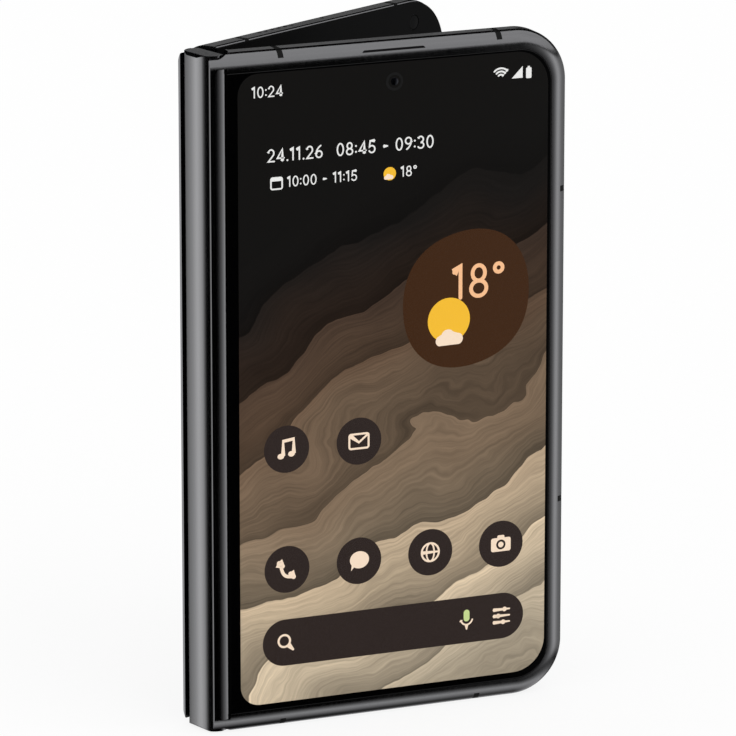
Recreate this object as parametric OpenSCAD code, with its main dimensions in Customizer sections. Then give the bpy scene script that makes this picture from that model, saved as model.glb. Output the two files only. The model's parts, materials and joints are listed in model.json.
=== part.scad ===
// Foldable smartphone, standing partly open on its lower edge like a book.
// Each half is drawn flat in its own frame: x from the hinge end to the free edge, y from the
// outer face inwards, z up. The halves are then placed round the two parallel hinge axes.

/* [Overall] */
// Height of the phone, along the hinge
body_h = 139.7; // [125:0.1:160]
// Width of one half, from its hinge end to its free edge
half_w = 79.5; // [74:0.1:92]
// Thickness of one half
half_t = 5.8; // [5.7:0.05:6.6]
// Gap between the halves when closed
closed_gap = 0.5; // [0.4:0.05:0.8]
// Angle between the halves as the phone stands
open_angle = 28; // [10:0.1:80]
// Outer radius of the free corners of each half
corner_r = 11; // [9:0.5:13]

/* [Frames] */
// Rounding of the side frame towards the outer glass
edge_r = 2.3; // [1.8:0.1:2.4]
// Rounding of the side frame towards the inner bezel
rim_r = 0.5; // [0.2:0.1:0.8]
// Wall of the side frame
wall_t = 2.8; // [2.7:0.1:3.2]
// Width of the antenna bands
band_w = 1.2; // [0.8:0.1:1.8]
// Distance of the antenna bands near the hinge from the hinge end
band_near_x = 17; // [15:0.1:18]
// Distance of the far upper antenna band from the hinge end
band_top_x = 64.3; // [60:0.1:66]
// Distance of the far lower antenna band from the hinge end
band_low_x = 60; // [50:0.1:66]
// Depth of the upper side antenna band below the top of the phone
band_side_down = 33.4; // [30:0.1:36]
// Height of the lower side antenna band
band_side_z = 41.1; // [37.6:0.1:42]

/* [Hinge rails] */
// Where the rail's visible face ends at the glass, from the hinge end of the closed phone
rail_w = 5.3; // [5:0.1:6]
// Where the rail ends under the glass, from the same end
rail_in = 7.5; // [7.4:0.05:7.8]
// Rounding of the rail's outer edge
rail_edge_r = 0.3; // [0.2:0.05:0.35]
// Rounding of the rail's ends
rail_end_r = 0.8; // [0.4:0.1:1.2]
// Width of the flat lip beside the rail's outer edge
strip_w = 0.5; // [0.4:0.05:0.7]
// Width of the groove beside that lip
groove_w = 0.35; // [0.3:0.05:0.6]
// Depth of that groove
groove_d = 0.35; // [0.2:0.05:0.4]

/* [Hinge] */
// Distance of each hinge axis from the hinge end of the closed phone
axis_in = 3.55; // [3.45:0.05:3.6]
// Distance of each hinge axis from the plane between the closed halves
axis_gap = 1.8; // [1.7:0.05:1.9]
// Gap between the two hinge ends when the phone is flat
flat_gap = 0.1; // [0.05:0.05:0.3]
// Gap between the spine and the rails that swing over it
spine_gap = 0.12; // [0.1:0.01:0.2]
// Radius of the spine cover round each hinge axis
spine_r = 3.05; // [2.9:0.05:3.1]
// Radius of the spine cover's bulging side
spine_side_r = 8; // [7.5:0.1:10]
// Rounding of the spine cover's ends
spine_end_r = 1.2; // [0.5:0.1:1.4]
// Wall of the spine cover
spine_wall = 0.35; // [0.3:0.05:0.45]
// Setback of the spine's ends from the ends of the phone
spine_end = 0.3; // [0.2:0.05:0.6]
// Thickness of the spine's end caps
cap_t = 1.4; // [1:0.1:1.8]
// Height of the gears
gear_h = 1.8; // [1.2:0.1:2]
// Height of the hinge arms' barrels
barrel_h = 3; // [2:0.1:3.2]
// Radius of the hinge arms' barrels
barrel_r = 1.2; // [1:0.05:1.2]
// Thickness of the hinge arms
arm_t = 0.9; // [0.6:0.05:1]
// Reach of the hinge arms from the hinge end
arm_x = 14; // [12:0.5:16]
// Height of the arms' screw plates
arm_plate_h = 4.4; // [3.5:0.1:4.8]
// Thickness of the friction washers
washer_t = 0.25; // [0.15:0.05:0.4]
// Thickness of the spine's pin webs
web_t = 1; // [0.6:0.1:1.2]
// Radius of the hinge pins in the barrels
pin_r = 0.6; // [0.4:0.05:0.7]
// Radius of the hinge pins in the gears
journal_r = 0.35; // [0.25:0.05:0.4]
// Radius of the idler pins
idler_pin_r = 0.2; // [0.15:0.01:0.22]
// Running clearance of pins in their bores
run_gap = 0.05; // [0.02:0.01:0.08]
// Teeth of the gears on the halves
main_teeth = 14; // [12:2:18]
// Teeth of the idler gears
idler_teeth = 10; // [10:2:12]

/* [Layers of each half] */
// Thickness of the outer glass
glass_t = 0.7; // [0.5:0.05:0.8]
// Gap round the outer glass and between layers
seam = 0.05; // [0.03:0.01:0.1]
// Thickness of the cover display
cover_display_t = 1.2; // [0.9:0.1:1.25]
// Thickness of the chassis plate
plate_t = 0.6; // [0.4:0.05:0.65]
// Height from the outer face to the chassis plate
plate_y = 2; // [1.9:0.05:2.1]
// Thickness of the inner bezel
bezel_t = 0.6; // [0.4:0.05:0.7]
// Height of the inner bezel at the top and bottom
bezel_z = 8.15; // [8:0.05:10]
// Width of the inner bezel at the free edge
bezel_x = 5.7; // [5:0.1:8]
// Setback of the inner bezel from the frame's outline
bezel_inset = 0.3; // [0.1:0.05:0.6]
// Depth of the inner display below the bezel
panel_drop = 0.4; // [0.2:0.05:0.5]
// Thickness of the inner display
panel_t = 0.35; // [0.25:0.05:0.4]
// Thickness of the plate behind the inner display
backing_t = 0.3; // [0.2:0.05:0.4]

/* [Cover display] */
// Distance of the picture from the hinge end
screen_near = 7.5; // [6.5:0.1:9]
// Distance of the picture from the free edge
screen_far = 4.8; // [4:0.1:6]
// Height of the picture's lower edge
screen_z = 4.3; // [3.6:0.1:6]
// Depth of the picture's upper edge below the top of the phone
screen_down = 5.2; // [3.6:0.1:6]
// Depth of the front camera below the top of the phone
front_cam_down = 8.8; // [8:0.1:11]
// Radius of the front camera's hole in the cover display
front_cam_r = 1.8; // [1.4:0.1:2.2]
// Width of the earpiece slot
earpiece_w = 13.7; // [10:0.1:16]
// Height of the earpiece slot
earpiece_h = 0.9; // [0.6:0.05:1.1]

/* [Rear cameras] */
// Length of the camera bar
cam_bar_w = 70; // [66:0.5:72]
// Height of the camera bar
cam_bar_h = 17; // [14:0.5:19]
// How far the camera bar stands out of the back
cam_bar_t = 2.2; // [1.6:0.1:3]
// Depth of the camera bar's middle below the top of the phone
cam_bar_down = 24.5; // [22:0.5:27]
// Distance between the camera lenses
lens_pitch = 15.5; // [13:0.5:17]
// Radius of the camera lenses
lens_r = 4.4; // [3.5:0.1:5]
// Radius of the flash
flash_r = 1.6; // [1.2:0.1:2]

/* [Keys, port and tray] */
// Length of the power button
power_h = 12; // [9:0.5:13]
// Depth of the power button's middle below the top of the phone
power_down = 44.7; // [43.5:0.1:46]
// Length of the volume rocker
rocker_h = 22; // [18:0.5:23]
// Distance from the power button's middle down to the volume rocker's middle
rocker_step = 22; // [21:0.5:24]
// Width of both keys across the frame
key_t = 2.1; // [1.6:0.1:2.3]
// How far the keys stand out of the frame
key_out = 0.35; // [0.2:0.05:0.6]
// Travel of the power button
key_travel = 0.3; // [0.2:0.05:0.35]
// Thickness of the keys' inner lips
lip_t = 0.5; // [0.4:0.05:0.7]
// Width of the port's opening
port_w = 8.34; // [8.2:0.02:8.5]
// Height of the port's opening
port_h = 2.56; // [2.4:0.02:2.7]
// Wall of the port's shell
port_wall = 0.3; // [0.2:0.05:0.35]
// Depth of the port
port_depth = 6.8; // [6:0.1:7.4]
// Length of the SIM tray along the frame
tray_h = 13.6; // [12.6:0.1:15]
// Depth of the SIM tray
tray_depth = 15; // [12:0.1:15.5]
// Thickness of the SIM tray
tray_t = 1.2; // [1:0.1:1.3]
// Height of the SIM tray's lower end
tray_z = 22; // [21:0.5:24]

/* [Hidden] */
$fn = 64;

FRAME_BLACK = [0.09, 0.09, 0.10];
GLASS_BLACK = [0.03, 0.03, 0.035];
PLASTIC_BLACK = [0.06, 0.06, 0.06];
SCREEN_DARK = [0.16, 0.13, 0.11];
STEEL = [0.55, 0.56, 0.58];
BOARD_GREEN = [0.10, 0.22, 0.16];
COPPER = [0.70, 0.42, 0.22];
CELL_GREY = [0.30, 0.31, 0.33];

cut = 1;                                    // overshoot of every cutting solid
frame_y = half_t - bezel_t;                 // frame from the outer face to the inner bezel
mid_y = half_t + closed_gap / 2;            // plane between the closed halves
axis_y = mid_y - axis_gap;                  // hinge axis above the outer face
skin_x = axis_in - axis_gap + flat_gap / 2; // hinge end of each half's rail
side_x = axis_in + sqrt(pow(spine_side_r - spine_r, 2) - pow(axis_gap, 2)); // middle of the bulge's circle
spine_reach = spine_side_r - side_x + axis_in; // how far the spine bulges beyond its axes
cavity_r = spine_reach + spine_gap;         // hollow that each half has for the spine
hollow_x = axis_in + cavity_r;              // where each half's inner face begins
panel_y = half_t - panel_drop - panel_t;
backing_y = panel_y - backing_t;
inner_y = plate_y + plate_t;                // top of the chassis plate
arm_y = axis_y - arm_t / 2;
screen_w = half_w - screen_near - screen_far;
screen_h = body_h - screen_z - screen_down;
screen_x = screen_near + screen_w / 2;
display_border = 0.4;                       // cover display beyond its lit part
power_z = body_h - power_down;
rocker_z = power_z - rocker_step;
axis_a = [axis_in, axis_y];
axis_b = [axis_in, 2 * mid_y - axis_y];

// stack of the hinge along z, counted down from the top of the phone
cap_end = spine_end + cap_t;
gear_start = cap_end + 0.1;
gear_end = gear_start + gear_h;
barrel_end = gear_end + barrel_h;
washer_start = barrel_end + 0.05;
web_start = washer_start + washer_t + 0.05;
web_end = web_start + web_t;

// gear train: half, idler, idler, half, in one row between the two axes
gear_module = 2 * axis_gap / (main_teeth + 2 * idler_teeth);
main_pitch_r = main_teeth * gear_module / 2;
idler_pitch_r = idler_teeth * gear_module / 2;

// bending part of the inner display, measured along the flat display from each axis
bend_out = 2.25;                            // from the axis to where the rigid part begins
bend_in = 1.5;                              // from the axis to where it follows the spine
bend_steps = 18;

// ---------------------------------------------------------------- placing

module centred() {
    translate([-half_w / 2, -half_t / 2, 0]) children();
}

module on_front() {
    centred() children();
}

module on_spine() {
    centred() translate(axis_a) rotate([0, 0, open_angle / 2]) translate(-axis_a) children();
}

module on_rear() {
    on_spine() translate(axis_b) rotate([0, 0, open_angle / 2]) translate(-axis_b)
        translate([0, 2 * mid_y, 0]) mirror([0, 1, 0]) children();
}

// repeats a solid at the top and, mirrored, at the bottom
module both_ends() {
    children();
    translate([0, 0, body_h]) mirror([0, 0, 1]) children();
}

// ---------------------------------------------------------------- shared shapes

// plate across y, from an outline in x and z
module slab(y0, y1) {
    translate([0, y1, 0]) rotate([90, 0, 0]) linear_extrude(y1 - y0) children();
}

// bar along x, from an outline in y and z
module bar(x0, x1) {
    translate([x0, 0, 0]) rotate([90, 0, 90]) linear_extrude(x1 - x0) children();
}

// box between two corners
module box(low, high) {
    translate(low) cube(high - low);
}

// round rod along y
module rod_y(x, z, r, y0, y1) {
    translate([x, y1, z]) rotate([90, 0, 0]) cylinder(r = r, h = y1 - y0);
}

// rectangle with its left corners rounded by rl and its right corners by rr
module rounded(x0, z0, x1, z1, rl, rr) {
    translate([x0 + rl, z0]) square([x1 - x0 - rl - rr, z1 - z0]);
    translate([x0, z0 + rl]) square([x1 - x0 - rr, z1 - z0 - 2 * rl]);
    translate([x0 + rl, z0 + rr]) square([x1 - x0 - rl, z1 - z0 - 2 * rr]);
    for (z = [z0 + rl, z1 - rl]) translate([x0 + rl, z]) circle(r = rl);
    for (z = [z0 + rr, z1 - rr]) translate([x1 - rr, z]) circle(r = rr);
}

// outline of one half from x0 to the free edge, moved inwards by inset
module half_outline(x0, inset) {
    rounded(x0, inset, half_w - inset, body_h - inset, 0.2, corner_r - inset);
}

// section of the spine in x and y: a circle round each hinge axis and the bulging side between them
module spine_section(inset) {
    r = spine_r - inset;
    for (at = [axis_a, axis_b]) translate(at) circle(r = r);
    intersection() {
        translate([side_x, mid_y]) circle(r = spine_side_r - inset);
        polygon([[side_x, mid_y], [2 * axis_in - side_x, mid_y - 2 * axis_gap],
            [2 * axis_in - side_x, mid_y + 2 * axis_gap]]);
    }
    translate([axis_in, axis_y]) square([r, 2 * axis_gap]);
}

// section of the side frame: first coordinate inwards, second from the outer face
module frame_section() {
    difference() {
        intersection() {
            square([wall_t, frame_y]);
            union() {
                translate([edge_r, edge_r]) circle(r = edge_r);
                translate([rim_r, frame_y - rim_r]) circle(r = rim_r);
                translate([0, edge_r]) square([wall_t, frame_y - edge_r - rim_r]);
                translate([edge_r, 0]) square([wall_t - edge_r, frame_y]);
                translate([rim_r, edge_r]) square([wall_t - rim_r, frame_y - edge_r]);
            }
        }
        translate([edge_r, -cut]) square([wall_t, cut + glass_t + seam]);
    }
}

// side frame on three sides, from the hinge rail round both free corners
module frame_band() {
    both_ends() {
        translate([rail_in, 0, body_h]) rotate([0, 90, 0])
            linear_extrude(half_w - corner_r - rail_in) frame_section();
        translate([half_w - corner_r, 0, body_h - corner_r]) rotate([-90, 0, 0]) rotate([0, 0, -90])
            rotate_extrude(angle = 90) translate([corner_r, 0]) mirror([1, 0]) frame_section();
    }
    translate([half_w, 0, corner_r]) mirror([1, 0, 0])
        linear_extrude(body_h - 2 * corner_r) frame_section();
}

// slots of the antenna bands through the side frame
module band_slots() {
    deep = wall_t + cut;
    half = band_w / 2;
    for (x = [band_near_x, band_top_x])
        box([x - half, -cut, body_h - deep], [x + half, half_t, body_h + cut]);
    for (x = [band_near_x, band_low_x])
        box([x - half, -cut, -cut], [x + half, half_t, deep]);
    for (z = [band_side_z, body_h - band_side_down])
        box([half_w - deep, -cut, z - half], [half_w + cut, half_t, z + half]);
}

module antenna_bands() {
    color(PLASTIC_BLACK) intersection() {
        frame_band();
        band_slots();
    }
}

// section of the hinge rail in x and y, with the hollow for the spine
module rail_section() {
    crown_x = skin_x + strip_w + groove_w;
    crown_w = rail_w - crown_x;
    crown_r = 3.1;
    difference() {
        union() {
            translate([skin_x + rail_edge_r, rail_edge_r]) circle(r = rail_edge_r);
            translate([skin_x, rail_edge_r]) square([rail_in - skin_x, frame_y - rail_edge_r]);
            translate([skin_x + rail_edge_r, 0]) square([rail_in - skin_x - rail_edge_r, frame_y]);
        }
        translate(axis_a) circle(r = cavity_r);
        translate([-cut, axis_y]) square([cut + hollow_x, half_t]);
        translate([-cut, axis_y - cavity_r]) square([cut + axis_in, half_t]);
        translate([skin_x + strip_w, -cut]) square([rail_w - skin_x - strip_w, cut + groove_d]);
    }
    intersection() {
        translate([crown_x + crown_w / 2, crown_r]) circle(r = crown_r);
        translate([crown_x, 0]) square([crown_w, 2 * groove_d]);
    }
}

module hinge_rail() {
    arm_slot = 0.1;
    under_panel = bezel_z - 2;
    pocket = display_border + seam;
    difference() {
        intersection() {
            linear_extrude(body_h) rail_section();
            slab(-cut, half_t) rounded(skin_x, 0, rail_in + cut, body_h, rail_end_r, 0.2);
            bar(-cut, rail_in + cut) rounded(0, 0, frame_y, body_h, edge_r, rim_r);
        }
        slab(-cut, glass_t + seam) half_outline(rail_w, edge_r);
        box([screen_near - pocket, glass_t, screen_z - pocket],
            [rail_in + cut, plate_y, body_h - screen_down + pocket]);
        both_ends()
            box([axis_in, arm_y - arm_slot, body_h - barrel_end - arm_slot],
                [rail_in + cut, half_t, body_h - gear_end + arm_slot]);
        box([axis_in, backing_y - seam, under_panel], [rail_in + cut, half_t, body_h - under_panel]);
        box([axis_in, axis_y, cable_z0 - seam], [rail_in + cut, half_t, cable_z1 + seam]);
    }
}

// chassis plate with raised pads for the hinge arms
module chassis_base() {
    inset = wall_t + seam;
    slab(plate_y, inner_y) half_outline(rail_in + seam, inset);
    both_ends()
        box([rail_in + seam, plate_y, body_h - gear_end - arm_plate_h],
            [arm_x, arm_y, body_h - gear_end]);
}

screw_r = 0.5;
screw_head_r = 0.9;
screw_head_t = 0.4;
screw_xs = [9.2, 12.5];

module arm_screw_holes() {
    both_ends() for (x = screw_xs)
        rod_y(x, body_h - gear_end - arm_plate_h / 2, screw_r + 0.02, plate_y - cut, half_t);
}

module arm_screws() {
    top = arm_y + arm_t - seam;
    color(STEEL) both_ends() for (x = screw_xs) {
        z = body_h - gear_end - arm_plate_h / 2;
        rod_y(x, z, screw_r, plate_y + 0.1, top - screw_head_t);
        rod_y(x, z, screw_head_r, top - screw_head_t, top);
    }
}

// hinge arm: a barrel on the hinge pin and a plate that is screwed to the chassis
module hinge_arms() {
    color(STEEL) both_ends() difference() {
        union() {
            translate([axis_in, axis_y, body_h - barrel_end]) cylinder(r = barrel_r, h = barrel_h);
            box([axis_in, arm_y, body_h - barrel_end], [rail_in + 0.5, arm_y + arm_t, body_h - gear_end]);
            box([rail_in + 0.4, arm_y, body_h - gear_end - arm_plate_h],
                [arm_x, arm_y + arm_t, body_h - gear_end]);
        }
        translate([axis_in, axis_y, body_h - barrel_end - cut])
            cylinder(r = pin_r + run_gap, h = barrel_h + 2 * cut);
        for (x = screw_xs) {
            z = body_h - gear_end - arm_plate_h / 2;
            rod_y(x, z, screw_r + 0.02, arm_y - cut, half_t);
            rod_y(x, z, screw_head_r + seam, arm_y + arm_t - seam - screw_head_t, half_t);
        }
    }
}

// spur gear outline with one tooth turned to the angle given
module gear_outline(teeth, first) {
    pitch_r = teeth * gear_module / 2;
    root_r = pitch_r - 1.15 * gear_module;
    tip_r = pitch_r + 0.75 * gear_module;
    step = PI * gear_module;
    circle(r = root_r);
    for (i = [0 : teeth - 1]) rotate(first + i * 360 / teeth)
        polygon([[root_r * 0.8, -0.25 * step], [root_r, -0.25 * step], [tip_r, -0.11 * step],
            [tip_r, 0.11 * step], [root_r, 0.25 * step], [root_r * 0.8, 0.25 * step]]);
}

module gear_pair(at, teeth, first, bore_r) {
    color(STEEL) both_ends() translate([at.x, at.y, body_h - gear_end]) difference() {
        linear_extrude(gear_h) gear_outline(teeth, first);
        translate([0, 0, -cut]) cylinder(r = bore_r, h = gear_h + 2 * cut);
    }
}

// inner bezel round the folding display, open towards the hinge
module inner_bezel() {
    window_r = 3;
    slab(frame_y, half_t) difference() {
        half_outline(hollow_x + seam, bezel_inset);
        rounded(-cut, bezel_z, half_w - bezel_x, body_h - bezel_z, 0.2, window_r);
    }
}

module inner_panel() {
    window_r = 3;
    x0 = axis_in + bend_out + seam;
    color(GLASS_BLACK) slab(panel_y, panel_y + panel_t)
        rounded(x0, bezel_z + seam, half_w - bezel_x - seam, body_h - bezel_z - seam, 0.2, window_r);
}

module panel_backing() {
    edge = bezel_z - 1.8;
    color(STEEL) slab(backing_y, panel_y)
        rounded(axis_in + bend_out + seam, edge, half_w - bezel_x + 1.5, body_h - edge, 0.2, 3);
}

magnet_w = 2.2;
magnet_clear = 5;                           // magnets from the tray below and the keys above
magnet_x = half_w - wall_t - 0.4 - magnet_w;
magnet_z = tray_z + tray_h + magnet_clear;
magnet_top = rocker_z - rocker_h / 2 - magnet_clear;

module magnets() {
    color(STEEL) box([magnet_x, inner_y + seam, magnet_z],
        [magnet_x + magnet_w, backing_y - seam, magnet_top]);
}

// ---------------------------------------------------------------- front half

module front_frame() {
    slot_x = screen_x - earpiece_w / 2;
    on_front() color(FRAME_BLACK) difference() {
        frame_band();
        band_slots();
        box([slot_x, -cut, body_h - edge_r - earpiece_h / 2],
            [slot_x + earpiece_w, plate_y, body_h - edge_r + earpiece_h / 2]);
    }
}

module front_antenna_bands() {
    on_front() antenna_bands();
}

module front_hinge_rail() {
    on_front() color(FRAME_BLACK) hinge_rail();
}

module cover_glass() {
    slot_x = screen_x - earpiece_w / 2;
    inset = edge_r + seam;
    on_front() color(GLASS_BLACK) difference() {
        slab(0, glass_t) half_outline(rail_w + seam, inset);
        box([slot_x, -cut, body_h - edge_r - earpiece_h / 2],
            [slot_x + earpiece_w, glass_t + cut, body_h]);
    }
}

module cover_display() {
    border = display_border;
    near_r = 4;
    far_r = corner_r - 4;
    on_front() color(SCREEN_DARK) difference() {
        slab(glass_t + seam, glass_t + seam + cover_display_t)
            rounded(screen_near - border, screen_z - border, half_w - screen_far + border,
                body_h - screen_down + border, near_r, far_r);
        rod_y(screen_x, body_h - front_cam_down, front_cam_r, 0, half_t);
    }
}

module front_camera() {
    size = 5.6;
    z = body_h - front_cam_down;
    on_front() color(PLASTIC_BLACK) {
        rod_y(screen_x, z, front_cam_r - 0.2, glass_t + seam, plate_y + seam);
        box([screen_x - size / 2, plate_y + seam, z - size / 2],
            [screen_x + size / 2, backing_y - 0.2, z + size / 2]);
    }
}

module earpiece_mesh() {
    slot_x = screen_x - earpiece_w / 2;
    on_front() color(CELL_GREY)
        box([slot_x + seam, glass_t - 0.2, body_h - edge_r - earpiece_h / 2 + seam],
            [slot_x + earpiece_w - seam, glass_t + 0.2, body_h - edge_r + earpiece_h / 2 - seam]);
}

module earpiece_speaker() {
    near = screen_x + 4;
    size = [12, backing_y - 0.2 - inner_y - seam, 8];
    on_front() color(CELL_GREY) translate([near, inner_y + seam, body_h - 3 - size.z]) cube(size);
}

module front_chassis_plate() {
    cam = 3;
    z = body_h - front_cam_down;
    on_front() color(CELL_GREY) difference() {
        chassis_base();
        arm_screw_holes();
        box([screen_x - cam, 0, z - cam], [screen_x + cam, half_t, z + cam]);
    }
}

cell_near = arm_x + 1;                      // batteries start beside the hinge arms
front_cell_far = half_w - 9.5;
front_cell_low = 12;
front_board_low = body_h - 30;
front_board_high = body_h - 15;
chip_w = 8;
chip_h = 9;
chip_t = 1;

module front_battery() {
    on_front() color(CELL_GREY) box([cell_near, inner_y + seam, front_cell_low],
        [front_cell_far, backing_y - seam, front_board_low - 2]);
}

module front_board() {
    near = cell_near + 1;
    pitch = (front_cell_far - near - 2) / 4;
    top = inner_y + 0.7;
    low = front_board_low + 3;
    on_front() color(BOARD_GREEN) {
        box([near, inner_y + seam, front_board_low], [front_cell_far, top, front_board_high]);
        for (i = [0 : 3]) translate([near + 4 + i * pitch, top, low]) cube([chip_w, chip_t, chip_h]);
    }
}

module front_magnets() {
    on_front() magnets();
}

module front_inner_bezel() {
    on_front() color(PLASTIC_BLACK) inner_bezel();
}

module front_inner_panel() {
    on_front() inner_panel();
}

module front_panel_backing() {
    on_front() panel_backing();
}

module front_hinge_arms() {
    on_front() hinge_arms();
}

module front_sync_gears() {
    on_front() gear_pair(axis_a, main_teeth, 90, journal_r + run_gap);
}

module front_arm_screws() {
    on_front() arm_screws();
}

// ---------------------------------------------------------------- hinge

module spine_cover() {
    cap_x = axis_in + 1.3;
    web_x = axis_in + 1.1;
    web_reach = 1.75;
    clear = 0.2;
    near = axis_in - spine_reach;
    on_spine() color(FRAME_BLACK) difference() {
        intersection() {
            union() {
                translate([0, 0, spine_end]) linear_extrude(body_h - 2 * spine_end) difference() {
                    spine_section(0);
                    spine_section(spine_wall);
                    translate([axis_in, -cut]) square([half_w, 4 * mid_y]);
                }
                both_ends() translate([0, 0, body_h - cap_end]) linear_extrude(cap_t) difference() {
                    spine_section(0);
                    translate([cap_x, -cut]) square([half_w, 4 * mid_y]);
                }
                both_ends() translate([0, 0, body_h - web_end]) linear_extrude(web_t) {
                    difference() {
                        spine_section(spine_wall / 2);
                        translate([axis_in, -cut]) square([half_w, 4 * mid_y]);
                    }
                    translate([axis_in - cut, axis_y - web_reach])
                        square([web_x - axis_in + cut, 2 * (axis_gap + web_reach)]);
                }
            }
            slab(-cut, 2 * mid_y + cut)
                rounded(near, spine_end, half_w, body_h - spine_end, spine_end_r, 0.2);
        }
        for (at = [axis_a, axis_b]) both_ends() {
            translate([at.x, at.y, body_h - web_end - cut]) cylinder(r = pin_r + 0.01, h = web_t + 2 * cut);
            translate([at.x, at.y, body_h - cap_end - cut])
                cylinder(r = journal_r + 0.01, h = cap_t + cut - 0.25);
        }
        for (at = idler_centres) both_ends() translate([at.x, at.y, body_h - cap_end - cut])
            cylinder(r = idler_pin_r + 0.01, h = cut + 0.5);
        // room for the arms to swing out to the flat position
        for (y = [axis_y - 2 * spine_r, axis_b.y]) both_ends()
            box([axis_in - arm_t / 2 - clear, y, body_h - barrel_end - clear],
                [axis_in + cut, y + 2 * spine_r, body_h - gear_end + clear / 2]);
    }
}

module hinge_pins() {
    on_spine() color(STEEL) for (at = [axis_a, axis_b]) both_ends() {
        translate([at.x, at.y, body_h - web_end + seam])
            cylinder(r = pin_r, h = web_end - gear_end - seam);
        translate([at.x, at.y, body_h - gear_end - seam])
            cylinder(r = journal_r, h = gear_end + seam - spine_end - 0.3);
    }
}

module idler_pins() {
    on_spine() color(STEEL) for (at = idler_centres) both_ends()
        translate([at.x, at.y, body_h - gear_end]) cylinder(r = idler_pin_r, h = gear_end - cap_end + 0.45);
}

module friction_washers() {
    on_spine() color(STEEL) for (at = [axis_a, axis_b]) both_ends()
        translate([at.x, at.y, body_h - washer_start - washer_t]) difference() {
            cylinder(r = barrel_r, h = washer_t);
            translate([0, 0, -cut]) cylinder(r = pin_r + 0.02, h = washer_t + 2 * cut);
        }
}

// the idlers have turned with the hinge since it was closed, so their teeth are turned on too
idler_turn = open_angle / 2 * main_teeth / idler_teeth;
idler_centres = [
    [axis_in, axis_y + main_pitch_r + idler_pitch_r],
    [axis_in, axis_b.y - main_pitch_r - idler_pitch_r]
];

module front_idler_gears() {
    on_spine() gear_pair(idler_centres[0], idler_teeth, 270 + 180 / idler_teeth + idler_turn,
        idler_pin_r + run_gap);
}

module rear_idler_gears() {
    on_spine() gear_pair(idler_centres[1], idler_teeth, 270 - idler_turn, idler_pin_r + run_gap);
}

function turned(p, a) = [p.x * cos(a) - p.y * sin(a), p.x * sin(a) + p.y * cos(a)];
function eased(t) = t * t * (3 - 2 * t);
// share of the hinge's turn that a point of the folding panel has taken, u along the flat panel
function share(u) = eased(min(1, max(0, (bend_out - u) / (bend_out + bend_in))));
function fold_point(u, rise) =
    axis_a + turned([u, rise], -share(u) * (90 - open_angle / 2) - open_angle / 2);
function fold_line(rise) =
    [for (i = [0 : bend_steps]) fold_point(bend_out - i * (bend_out + axis_gap) / bend_steps, rise)];
function across(line) = [for (i = [len(line) - 2 : -1 : 0]) [line[i].x, 2 * mid_y - line[i].y]];
function reversed(line) = [for (i = [len(line) - 1 : -1 : 0]) line[i]];
function fold_strip(rise, t) = let (top = fold_line(rise), low = fold_line(rise - t))
    concat(top, across(top), reversed(concat(low, across(low))));

module folding_panel() {
    on_spine() color(GLASS_BLACK) translate([0, 0, bezel_z + seam])
        linear_extrude(body_h - 2 * (bezel_z + seam))
        polygon(fold_strip(half_t - panel_drop - axis_y, panel_t));
}

cable_t = 0.12;
cable_y = axis_y + 0.25;
cable_h = 14;
cable_z0 = (body_h - cable_h) / 2;
cable_z1 = cable_z0 + cable_h;

module hinge_cable() {
    rise = cable_y + cable_t - axis_y;
    on_spine() color(COPPER) translate([0, 0, cable_z0]) linear_extrude(cable_z1 - cable_z0)
        polygon(fold_strip(rise, cable_t));
}

// ---------------------------------------------------------------- rear half

bar_z = body_h - cam_bar_down;
bar_x = half_w / 2 + 0.6;
first_lens_in = 14;                         // first lens from the bar's near end
flash_step = 12;                            // flash from the last lens
lens_xs = [for (i = [0 : 2]) bar_x - cam_bar_w / 2 + first_lens_in + i * lens_pitch];
flash_x = lens_xs[2] + flash_step;
key_y = half_t / 2;
lip_gap = 0.35;
lip_x = half_w - wall_t - lip_gap - lip_t;
port_x = half_w / 2;
speaker_low_x = 20;
speaker_top_x = 22;
grille_r = 0.45;
grille_count = 6;
mic_x = 43.2;
inner_cam_x = half_w - 10;
inner_cam_r = 1.5;
inner_cam_z = body_h - wall_t - inner_cam_r - 0.3;

module rear_frame() {
    on_rear() color(FRAME_BLACK) difference() {
        frame_band();
        band_slots();
        key_slot(power_z, power_h);
        key_slot(rocker_z, rocker_h);
        box([half_w - wall_t - cut, inner_y + seam, tray_z - seam],
            [half_w + cut, inner_y + tray_t + 3 * seam, tray_z + tray_h + seam]);
        translate([port_x, key_y, -cut]) linear_extrude(wall_t + 2 * cut) port_outline(port_wall + seam);
        for (i = [0 : grille_count - 1]) {
            translate([speaker_low_x + 1.5 + 2 * i, key_y, -cut])
                cylinder(r = grille_r, h = wall_t + 2 * cut);
            translate([speaker_top_x + 1.5 + 2 * i, key_y, body_h - wall_t - cut])
                cylinder(r = grille_r, h = wall_t + 2 * cut);
        }
        translate([mic_x, key_y, body_h - wall_t - cut]) cylinder(r = grille_r, h = wall_t + 2 * cut);
    }
}

module key_slot(z, length) {
    gap = 0.1;
    slab(key_y - key_t / 2 - gap, key_y + key_t / 2 + gap)
        translate([half_w - wall_t - cut, z - length / 2 - gap]) square([wall_t + 2 * cut, length + 2 * gap]);
}

// key: a rounded cap that stands out of the frame, with a lip inside that keeps it in
module key_cap(z, length) {
    end_r = 0.3;
    slab(key_y - key_t / 2, key_y + key_t / 2)
        rounded(lip_x, z - length / 2, half_w + key_out, z + length / 2, end_r, end_r);
    box([lip_x, key_y - key_t / 2, z - length / 2 - 0.6],
        [lip_x + lip_t, key_y + key_t / 2, z + length / 2 + 0.6]);
}

module rear_antenna_bands() {
    on_rear() antenna_bands();
}

module rear_hinge_rail() {
    on_rear() color(FRAME_BLACK) hinge_rail();
}

module camera_holes(extra) {
    for (x = lens_xs) rod_y(x, bar_z, lens_r + extra, -2 * cam_bar_t, half_t);
    rod_y(flash_x, bar_z, flash_r + extra, -2 * cam_bar_t, half_t);
}

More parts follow.
